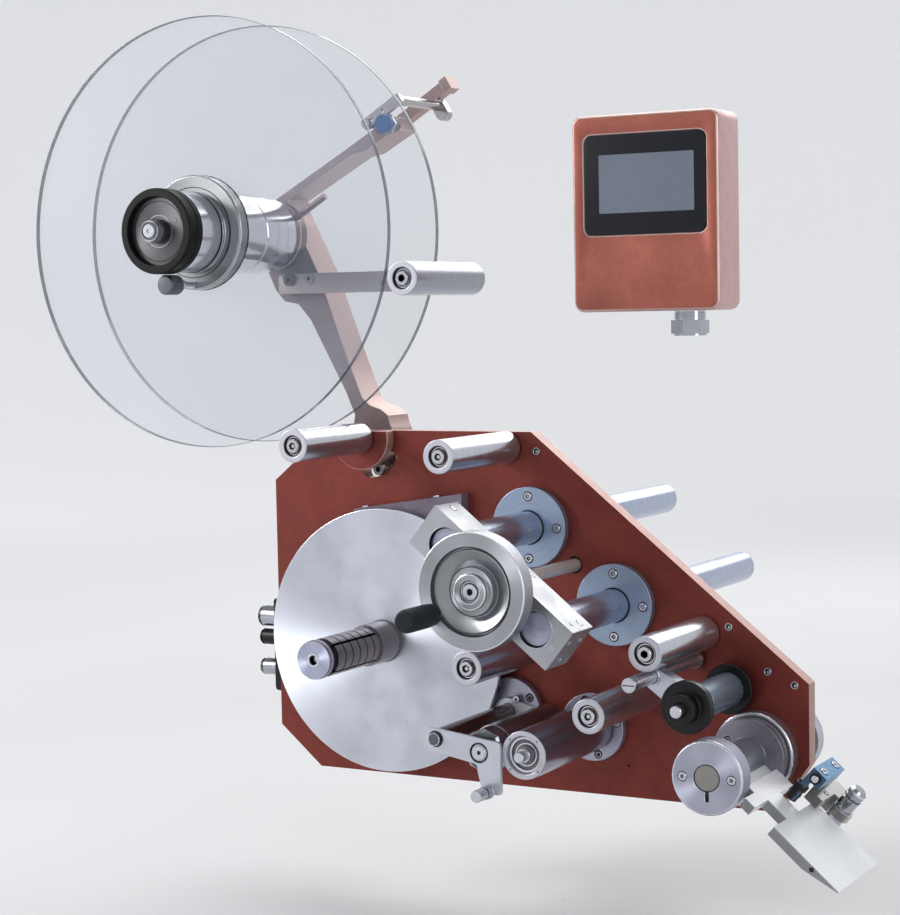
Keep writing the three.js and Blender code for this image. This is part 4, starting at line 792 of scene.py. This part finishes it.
# Reel: discs, mandrel, ring and spindle end
for node, bore, back in (("rear_disc", 35.7, -19.5), ("front_disc", 43.3, -105.5)):
    body = "reel_hub" if node == "rear_disc" else "reel_front"
    turned(f"{node}_clear", [(bore, back - 5), (198, back - 5), (198, back), (bore, back)], REEL, body,
           [CLEAR, RIM], [node], 0.5, 256, lambda r, y: r > 197.4)
turned("reel_mandrel_turned", [(10.3, -178), (35.4, -178), (35.4, -164), (36.6, -164), (36.6, -134),
                               (35.4, -133.2), (35.4, -131.6), (36.6, -130.9), (36.6, -128), (35.4, -128),
                               (35.4, -127), (36.6, -127), (36.6, -62), (35.9, -61), (35.9, -58),
                               (36.6, -57), (36.6, -29.5), (35.4, -29.5), (35.4, -8), (10.3, -8)], REEL,
       "reel_hub", [CHROME, END_PLATE], ["reel_mandrel"], 0.5, 128,
       lambda r, y: y < -177.4 and r < 35.2)
turned("grip_ring_moulded", [(35.7, -178.3), (30, -178.3), (31.2, -184), (37.2, -184), (38.4, -182.8),
                             (38.4, -172.6), (37.5, -172.2), (37.5, -171.4), (38.4, -171), (38.4, -164.3),
                             (35.7, -164.3)], REEL, "reel_hub", [RUBBER], ["grip_ring"], 0.5, 128)
hub = on_axis(REEL)
# Black rings are painted shade in the mandrel's groove and round its end plate
tube(form, hub, 36.9, 35.3, -133.1, -131.7, 1, 64, 0.2)
tube(form, hub, 27.2, 26.6, -178.25, -177.9, 1, 64, 0.05)
tube(form, hub, 14.6, 14.0, -178.25, -177.9, 0, 48, 0.05)
for angle, radius in ((28, 20), (222, 17.5)):
    place = beside(REEL, radius, angle, -178)
    screw(form, place, 1.6, 0.5, collar=0.3, turn=math.radians(angle), depth=0.4)
form.fittings("mandrel_rings", "reel_hub")
tube(form, hub, 10.9, 9.9, -186.6, -178.35, 2, 48, 0.5)
tube(form, hub, 10.2, 6.4, -187.2, -186, 1, 48, 0.3)
tube(form, hub, 9.6, 6.4, -193, -186.5, 0, 48, 0.5)
tube(form, hub, 8.3, 6.7, -194.2, -192.6, 2, 40, 0.3)
screw(form, on_axis(REEL, -193.1), 6.3, 0.8, 0.3, turn=0.2, depth=0.7)
form.piece("spindle_end", "reel_arm", "bright_steel", [SCREW, TOOL, BOLT])
# The chrome band at the front edge is a painted highlight, the black band at the back a rubber ring, and the
# black line on the face painted shade
tube(form, hub, 52.75, 51.9, -114.2, -113.2, 1, 96, 0.15)
tube(form, hub, 52.75, 51.9, -125.2, -124.4, 0, 96, 0.15)
tube(form, hub, 41.6, 40.9, -126.75, -126.35, 1, 96, 0.05)
form.piece("clamp_ring_bands", "reel_front", "chromed", [CHROME, PAINTED_SHADE_AND_RUBBER])
clamp_knob = (REEL[0], REEL[1] - 47.8)
turned("clamp_knob_turned", [(0, -172), (7.6, -172), (9, -170.6), (9, -155), (8.2, -154.2), (6.4, -154.2),
                             (6.4, -152.4), (5, -152.2), (5, -150.4), (5.8, -150.2), (5.8, -148.4),
                             (4.2, -148), (4.2, -143), (3, -142.4), (3, -112.8), (0, -112.8)], clamp_knob,
       "reel_clamp", [BOLT, SCREW], ["clamp_knob"], 0.4, 144, lambda r, y: y > -154.2, 36,
       0.35)
tube(form, hub, 33.4, 31.5, -7.2, -5.4, 0, 64, 0.3)
tube(form, hub, 33.3, 31.5, 3.0, 4.0, 0, 64, 0.3)
form.piece("brake_collar_bands", "brake", "dark_steel", [CHROME, PAINTED_SHADE_AND_RUBBER])

# Dancer bar: it ends behind its roller
bar_left, bar_right = -272.9, -55.5
bar = (bar_right - bar_left, 19.5, 1.4)
rings = [box_ring(*bar, 0.5, 15), box_ring(*bar, 0, 14.5), *eased(*bar, 3.3, 0.5, 3)]
form.loft(rings, spot((bar_left + bar_right) / 2, 0, DANCER[1]))
stub(form, on_axis(DANCER), 4.9, -119, 9)
form.piece("dancer_bar_eased", "reel_arm", "arm_metal", [PALE], ["dancer_bar"], 40)

# Arm's small parts
screw(form, spot(-260, 3.2, 231), 6.4, 2.6, 0.4)
screw(form, spot(-237, 3.2, 231.5), 5.2, 2.2, 0.4, turn=0.9, head=2)
# A black disc in the small hole is painted shade
tube(form, spot(-155, 0, 225.5), 2.3, 1.6, 3.05, 3.4, 0, 20, 0.1)
stub(form, spot(-155, 0, 225.5), 1.7, 3.15, 3.4, 1, 20, 0.05)
tube(form, on_axis(DANCER), 8.4, 5.2, 2.2, 3.4)
form.piece("dancer_bar_screws", "reel_arm", "dark_steel", [BOLT, PAINTED_SHADE_AND_RUBBER, STEEL])
turned("diameter_sensor_moulded", [(0, -9), (8.4, -9), (9.2, -8), (9.2, -2.6), (7.6, -2.6), (7.6, 1),
                                   (9.2, 1), (9.2, 4), (6.4, 4), (6.4, 15), (0, 15)], SENSOR, "reel_arm",
       [DEEP_BLUE, BOLT], ["diameter_sensor"], 0.5, 64, lambda r, y: y > -2.5)
slabs(form, on_axis(SENSOR) @ turn_by(31, "Y"), [(-20, -5), (4, -5), (4, 5), (-20, 5)], 11, 14.8, 0, 0.4)
tube(form, on_axis(SENSOR), 10.4, 7.7, -2.4, 0.8, 1, 6, 0.4)
form.piece("diameter_sensor_nut", "reel_arm", "dark_steel", [BOLT, FEELER])
screw(form, spot(-160.5, -0.6, 49.8), 5.8, 3.8, turn=0.4)
form.piece("lock_bolt_head", "reel_arm", "dark_steel", [TOOL, PAINTED_SHADE_AND_RUBBER])

# Rewinder
# Its rim takes the white edge look: painted highlight
turned("rewind_disc_faced", [(8.3, -24), (124.4, -24), (124.4, -20), (18, -20), (18, -8.6), (8.3, -8.6)],
       REWIND, "rewinder", [DISC, WHITE_EDGE_HIGHLIGHT], ["rewind_disc"], 0.6, 256,
       lambda r, y: r > 123.9)
end = on_axis(REWIND)
tube(form, end, 17.3, 6.4, -146.4, -145.8, 0, 64, 0.15)
tube(form, end, 6.5, 4.3, -146.7, -145.8, 1, 40, 0.3)
tube(form, end, 17.75, 16.9, -143.2, -140, 0, 64, 0.2)
tube(form, end, 20.3, 17.8, -26.5, -24.1, 2, 64, 0.3)
stub(form, end, 3.3, -141.6, -138.9, 1, 24)
form.piece("rewind_mandrel_cap", "rewinder", "bright_aluminium", [SHAFT_END, SCREW, TOOL])

# Cover beside the rewinder, with its top edge rising to the right and two screws along it
rise = 11.4 / 77.7
left, right, low, high = -183, -66, -41, 12.5
corners = [(left, low), (right, low), (right, high + (right - left) * rise), (left, high)]
slabs(form, spot(0, 0, 0), corners, -14, -0.3, 0, 0.5)
form.piece("rewind_cover_sheet", "carriage", "arm_metal", [COVER], ["rewind_cover"])
for x in (-173.5, -95.8):
    z = high - 0.1 + (x - left) * rise
    screw(form, spot(x, -7, z, Matrix.Rotation(-math.atan(rise), 4, "Y") @ UP), 3.4, 1.7, collar=0.5)
form.fittings("rewind_cover_screws", "carriage")

# Driven roller, nip lever and pressure roller
turned("drive_roller_ground", [(0, -136), (9, -136), (9, -134), (15.5, -134), (16.4, -143), (21, -143),
                               (21, -12), (8, -12), (8, 63.7), (0, 63.7)], DRIVE, "driver",
       [DRIVEN, ROLLER_END], ["drive_roller"], 0.9, 128, lambda r, y: y < -133.5 and r < 20.4)
centre = on_axis(DRIVE)
tube(form, centre, 15.6, 13.2, -139.5, -133.9, 0, 48)
tube(form, centre, 13.0, 10.6, -137.2, -133.9, 1, 48)
tube(form, centre, 10.4, 8.6, -138.2, -133.9, 0, 48)
tube(form, centre, 8.4, 5.6, -140, -135.8, 1, 40, 0.5)
stub(form, centre, 6.2, -144.2, -136, 0, 24, 0.6)
stub(form, centre, 4.7, -153, -144, 0, 24, 0.6)
for angle in QUARTERS:
    stub(form, beside(DRIVE, 18.2, angle), 0.9, -143.15, -142.9, 1, 12, 0.02)
form.piece("drive_roller_journal", "driver", "bright_steel", [SCREW, TOOL])
turned("pressure_roller_ground", [(6.3, -140.5), (12, -140.5), (12, -121), (19.6, -121), (19.6, -14),
                                  (6.3, -14)], PRESSURE, "nip_roller", [NIPPED],
       ["pressure_roller"], 1.0, 128)
tube(form, on_axis(PRESSURE), 19.5, 11.6, -139.6, -122.6, 0, 48, 2.2, 8)
tube(form, on_axis(PRESSURE), 16.5, 11.6, -140.4, -139.4, 1, 48, 0.3)
form.piece("pressure_roller_end", "nip_roller", "bright_steel", [PLATED, BOLT])
tube(form, on_axis(NIP), 5.7, 4.9, -150.9, -150.1, 0, 32, 0.2)
stub(form, on_axis(NIP), 5.0, -150.6, -150.1, 1, 24, 0.4, 6)
form.piece("nip_shaft_screw", "carriage", "bright_steel", [SCREW, BOLT])
# Black rings round the nip shaft and the pressure roller's axle, and the black socket, are painted shade
tube(form, on_axis(NIP), 7.2, 5.9, -147.2, -146.9, 1, 32, 0.1)
tube(form, on_axis(PRESSURE), 8.9, 8.2, -147.25, -143.4, 1, 48, 0.15)
tube(form, on_axis(PRESSURE), 7.6, 5.8, -146.9, -143.4, 0, 40, 0.6)
tube(form, on_axis(PRESSURE), 6.2, 1.7, -147.5, -146.8, 0, 32, 0.3)
stub(form, on_axis(PRESSURE), 1.9, -147.2, -146.9, 1, 16, 0.05, 6)
tube(form, on_axis(PULL_PIN), 5.6, 5.1, -156, -154, 2, 32, 0.1)
tube(form, on_axis(PULL_PIN), 6.4, 5.2, -149.4, -147, 0, 32, 0.4)
stub(form, on_axis(PULL_PIN), 5.0, -169.4, -168.9, 0, 32, 0.3)
form.piece("nip_lever_fittings", "nip", "bright_steel", [SCREW, PAINTED_SHADE_AND_RUBBER, TOOL])
screw(form, spot(-13, -13, -158), 3.2, 1.2, collar=0.5)
form.fittings("nip_rear_screw", "nip")

# Press arm, spool and knob
turned("spool_sleeve_turned", [(5.3, -84.5), (15, -84.5), (15, -16.3), (5.3, -16.3)], SPOOL, "guide_spool",
       [SPOOL_STEEL], ["spool_sleeve"], 0.8)
turned("spool_flange_moulded", [(5.3, -16), (22, -16), (22, -10), (5.3, -10)], SPOOL, "guide_spool",
       [PLASTIC], ["spool_flange"], 1.0)
turned("press_knob_moulded", [(5.3, -122), (13, -122), (13, -110), (22.5, -110), (22.5, -101.5),
                              (5.3, -101.5)], SPOOL, "spool_nut", [PLASTIC],
       ["press_knob"], 1.3)
turned("press_rod_turned", [(0, -146), (6.3, -146), (6.3, -6), (8.2, -6), (8.2, -0.3), (0, -0.3)],
       PRESS_ROD, "carriage", [ROD, BROWN], ["press_rod"], 0.7, 64, lambda r, y: y > -6.2)
stub(form, on_axis(SPOOL), 5.15, -131.3, -129, 0, 24, 0.5)
tube(form, on_axis(SPOOL), 5.25, 4.9, -128.5, -122.5, 1, 24, 0.05)
tube(form, on_axis(PRESS_ROD), 8.4, 6.5, -101.2, -100, 0, 32, 0.3)
form.piece("press_arm_fittings", "press", "bright_steel", [SCREW, TOOL])
# A black ring and slot on the rod's tip are painted shade
tube(form, on_axis(PRESS_ROD), 6.45, 5.9, -141.4, -140.6, 1, 32, 0.1)
slabs(form, on_axis(PRESS_ROD), [(-5.2, -0.45), (5.2, -0.45), (5.2, 0.45), (-5.2, 0.45)], -146.08, -145.9,
      1, 0.02)
form.fittings("press_rod_fittings", "carriage")

# Peel head
turned("peel_tube_turned", [(0, -118), (11, -118), (11, -97.7), (17, -97.7), (17, -27.3), (33.5, -27.3),
                            (33.5, -15.3), (12, -15.3), (12, 76), (0, 76)], PEEL, "peel_head",
       [TUBE, PEEL_DISC, CORE], ["peel_tube"], 0.8, 128,
       lambda r, y: 2 if y < -97 else r > 17.2 and y < -14)
turned("peel_wheel_turned", [(12.3, 62), (33, 62), (33, 76), (12.3, 76)], PEEL, "peel_head",
       [ROLLER_END], ["peel_wheel"], 1.0, 160, None, 40, 0.5)
for side in (-1, 1):
    screw(form, spot(PEEL[0] + side * 21.6, -118, PEEL[1]), 3.7, 0.5, 0.46, 0.6, 0.4, 0.4)
tube(form, on_axis(PEEL), 11.6, 10.9, -118.15, -117.8, 1, 64, 0.05)
form.fittings("peel_clamp_screws", "peel_head")
recess(form, spot(PEEL[0] - 17.5, -27.35, PEEL[1] + 14), 3.6)
# A black ring in the groove between the flanges is painted shade
tube(form, on_axis(PEEL), 33.7, 32.6, -16.2, -14.9, 1, 96, 0.1)
form.fittings("peel_disc_fittings", "peel_head")

# Label sensor's fittings, on the slope of the peel plate
on_slope = leaning(PEEL, 41.4)
for y in (-51, -23):
    screw(form, on_slope(58.5, y, 50.5, UP), 3.6, 0.9, collar=0.7)
stub(form, on_slope(59, -37, 50.5, UP), 1.1, -0.4, 0.1, 0, 12, 0.1)
tube(form, on_slope(58.5, 0, 44.5), 4.8, 3.2, -62.4, -60, 1)
stub(form, on_slope(58.5, 0, 44.5), 3.1, -63.2, -60, 0)
form.fittings("label_sensor_fittings", "peel_head")
stub(form, on_slope(53, -55, 14.5, UP), 5.4, -12.5, 0, 0, 24, 1.2)
tube(form, on_slope(53, -55, 26.5, UP), 6.4, 4, -5, 0, 0, 24, 0.6)
tube(form, on_slope(53, -55, 20, UP), 5.9, 4, -2, 0, 0, 24, 0.4)
form.piece("label_sensor_nut", "peel_head", "black_plastic", [PLASTIC])
for x, y, z in ((72, -22, 17.5), (77, 6, 15), (77, 18, 15)):
    screw(form, on_slope(x + 0.05, y, z, RIGHT), 2.9, 0.9, collar=0.6, turn=0.4)
screw(form, on_slope(67, -12, 22.3, UP), 2.9, 0.9, collar=0.6)
form.fittings("sensor_bracket_screws", "peel_head")
# A band of the white edge look is a painted highlight, a black band painted shade
for low, high, mark in ((33.6, 31.8, 0), (26.5, 25.6, 1)):
    tube(form, on_slope(84, 14, low, UP), 8.25, 7.7, 0, low - high, mark, 48, 0.15)
form.piece("sensor_post_bands", "peel_head", "bright_steel", [WHITE_EDGE_HIGHLIGHT, PAINTED_SHADE_AND_RUBBER])
stub(form, on_slope(111, -118.1, 9.5), 2.6, -0.3, 0.1, 1, 4, 0.05, 4)
form.piece("peel_plate_mark", "peel_head", "dark_steel", [SCREW, PAINTED_SHADE_AND_RUBBER])

# Plate's tapped holes and small hole
# Each hole is a black disc of painted shade; the tapped ones hold a small bright disc, a painted glint
for x, z in ((5, 69), (190, -82), (225.6, -119), (250, -129.4)):
    tube(form, spot(x, 0, z), 3.4, 2.5, -0.25, 0.1, 0, 24, 0.12)
    stub(form, spot(x, 0, z), 2.5, -0.12, 0.1, 1, 24, 0.03)
    stub(form, spot(x + 0.7, 0, z - 0.4), 1.3, -0.2, 0.1, 0, 16, 0.05)
stub(form, spot(93, 0, -213), 1.5, -0.1, 0.1, 1, 16, 0.02)
form.fittings("plate_inserts", "carriage")


# Terminal: a case with soft front edges and a sunk panel
case = on_axis(TERMINAL)
PANEL_LIFT = 25
outside = (140, 174, 9)
rings = [box_ring(*outside, 1.5, 48), box_ring(*outside, 0.4, 47.6), box_ring(*outside, 0, 46.5),
         *eased(*outside, 0, 3.4)]
for wide, high, corner, y in ((118.8, 90.8, 8.2, 0), (116.8, 88.8, 7.3, 0.5), (116.6, 88.6, 7.2, 2.1)):
    rings.append(box_ring(wide, high, corner, 0, y, PANEL_LIFT))
# The middle of the rounded front edge and the lip of the sunk panel take the paler edge look: painted
# highlight
form.loft(rings, case, [0, 0, 0, 0, 0, 1, 1, 0, 0, 1, 1])
form.piece("terminal_case", "guide_frame", "terminal_case", [CASE, EDGE_HIGHLIGHT], ["terminal_housing"], 40)
form.loft([box_ring(116, 88, 7, 0, 1.8, PANEL_LIFT), *eased(116, 88, 7, -1.2, 1.1, 4, PANEL_LIFT)], case)
form.piece("terminal_bezel", "guide_frame", "terminal_front", [BEZEL], ["terminal_panel"], 40)
screen = spot(TERMINAL[0] + 2.4, 0, TERMINAL[1] + 25.7)
slabs(form, screen, rounded_box(90.6, 51.4, 1.2), -1.35, -1.1, 0, 0.05)
form.piece("terminal_screen", "guide_frame", "terminal_front", [SCREEN])
gland = spot(147.5, 24, 193.7, UP)
for drop in (1.2, 3.0, 4.8):
    tube(form, gland @ Matrix.Translation((0, drop + 1, 0)), 14.1, 13.2, -0.5, 0.5, 0, 48, 0.25)
tube(form, gland @ Matrix.Translation((0, 20.5, 0)), 14.5, 7.2, -1.5, 1.2, 0, 48, 0.5)
form.piece("gland_rings", "guide_frame", "chromed", [GLAND])

# Plug ends at the left
for radius, lift, mark in ((10, 25, 0), (7.5, 4, 1), (8, -26, 0)):
    place = spot(-297, 35.3, -128 + lift, LEFT)
    tube(form, place, radius + 0.35, radius - 1, -24, -2, mark, 32, 1.6)
    stub(form, place, radius - 1.2, -25.4, -20, 1 - mark, 32, 0.4)
form.piece("plug_shells", "carriage", "bright_steel", [PLATED, PLASTIC])

# Behind the plate, with the levels where the screws' heads start
BOX_BACK = 70.4
NUT_BACK = 21.4
PIVOT_BACK = 56.7
MOTOR_BACK = 126.2
for x, z in ((-288, -92), (-288, -164), (-244, -92), (-244, -164)):
    screw(form, spot(x, BOX_BACK, z, BEHIND), 2.6, 1.2)
form.fittings("junction_box_screws", "carriage")
for angle in QUARTERS:
    screw(form, beside(WHEEL, 16, angle, NUT_BACK, BEHIND), 1.9, 1.4)
screw(form, spot(-175, PIVOT_BACK, 79.5, BEHIND), 8, 3.2)
form.fittings("rear_screws", "carriage")
heading = math.degrees(math.atan2(DRIVE[1] - REWIND[1], DRIVE[0] - REWIND[0]))
for angle in (225, 135, 315, 45):
    screw(form, beside(DRIVE, 31 * math.sqrt(2), angle + heading, MOTOR_BACK, BEHIND), 3, 1.4)
form.fittings("motor_screws", "carriage")


# Stage: floor with a swept backdrop all round, out of the views' way
def stage_piece(name, rings, around, look):
    verts, faces = [], []
    for radius, z in rings:
        for j in range(around):
            a = 2 * math.pi * j / around
            verts.append((radius * math.cos(a), radius * math.sin(a) - 0.25, z))
    for i in range(len(rings) - 1):
        for j in range(around):
            k = (j + 1) % around
            faces.append((i * around + j, i * around + k, (i + 1) * around + k, (i + 1) * around + j))
    mesh = bpy.data.meshes.new(name)
    mesh.from_pydata(verts, [], faces)
    mesh.polygons.foreach_set("use_smooth", [True] * len(faces))
    mesh.materials.append(look)
    made = bpy.data.objects.new(name, mesh)
    bpy.context.scene.collection.objects.link(made)


FLOOR, FLAT, CURVE, WALL_TOP = -0.36, 3.2, 1.3, 2.2
CURVE_STEPS = 12
sweep = [(0.001, FLOOR), (FLAT, FLOOR)]
for i in range(1, CURVE_STEPS + 1):
    a = math.pi / 2 * i / CURVE_STEPS
    sweep.append((FLAT + CURVE * math.sin(a), FLOOR + CURVE * (1 - math.cos(a))))
sweep.append((FLAT + CURVE, WALL_TOP))
paper = Look("backdrop_paper")
mottle = paper.noise(3.0, 3.0, 0.5)
paper.set(Base_Color=paper.mix(mottle, (0.58, 0.58, 0.59), (0.62, 0.62, 0.63)), Roughness=0.9)
ray = paper.node("LightPath").outputs
seen = paper.math("ADD", ray["Is Camera Ray"], ray["Is Glossy Ray"])
seen = paper.math("MINIMUM", paper.math("ADD", seen, ray["Is Transmission Ray"]), 1.0)
place = paper.node("TexCoord").outputs["Object"]
flat = paper.node("VectorMath", {0: place, 1: (1, 1, 0)}, operation="MULTIPLY").outputs[0]
away = paper.node("VectorMath", {0: flat}, operation="LENGTH").outputs["Value"]
paper.set(Emission_Color=(0.95, 0.97, 1.0))
paper.set(Emission_Strength=paper.math("MULTIPLY", seen, paper.spread(away, 1.0, 3.4, 0.04, 0.47)))
stage_piece("studio_sweep", sweep, 96, paper.material)


MIDDLE = Vector((-0.05, -0.35, 0.1))


def lamp(name, place, power, wide, high):
    """A softbox that looks at the machine's middle. The camera doesn't see it."""
    light = bpy.data.lights.new(name, "AREA")
    light.shape = "RECTANGLE"
    light.size, light.size_y = wide, high
    light.energy = power
    holder = bpy.data.objects.new(name, light)
    bpy.context.scene.collection.objects.link(holder)
    holder.location = place
    holder.rotation_euler = (MIDDLE - Vector(place)).to_track_quat("-Z", "Y").to_euler()
    holder.visible_camera = False


lamp("key_softbox", (-2.15, -1.75, 1.15), 36, 1.2, 1.6)
lamp("streak_light", (-2.0, -1.65, 1.05), 13, 0.3, 0.3)
lamp("fill_softbox", (2.3, -1.1, 0.7), 12, 0.9, 1.6)
lamp("top_softbox", (-0.2, 0.4, 2.3), 42, 2.2, 1.8)
lamp("rear_softbox", (-0.35, 2.3, 1.5), 27, 2.6, 1.1)

world = bpy.data.worlds.new("studio_light")
world.use_nodes = True
bpy.context.scene.world = world
tree = world.node_tree
ground = next(n for n in tree.nodes if n.type == "BACKGROUND")
ground.inputs["Color"].default_value = (0.88, 0.9, 0.94, 1)
ground.inputs["Strength"].default_value = 0.35

bpy.context.scene.view_settings.view_transform = "Standard"
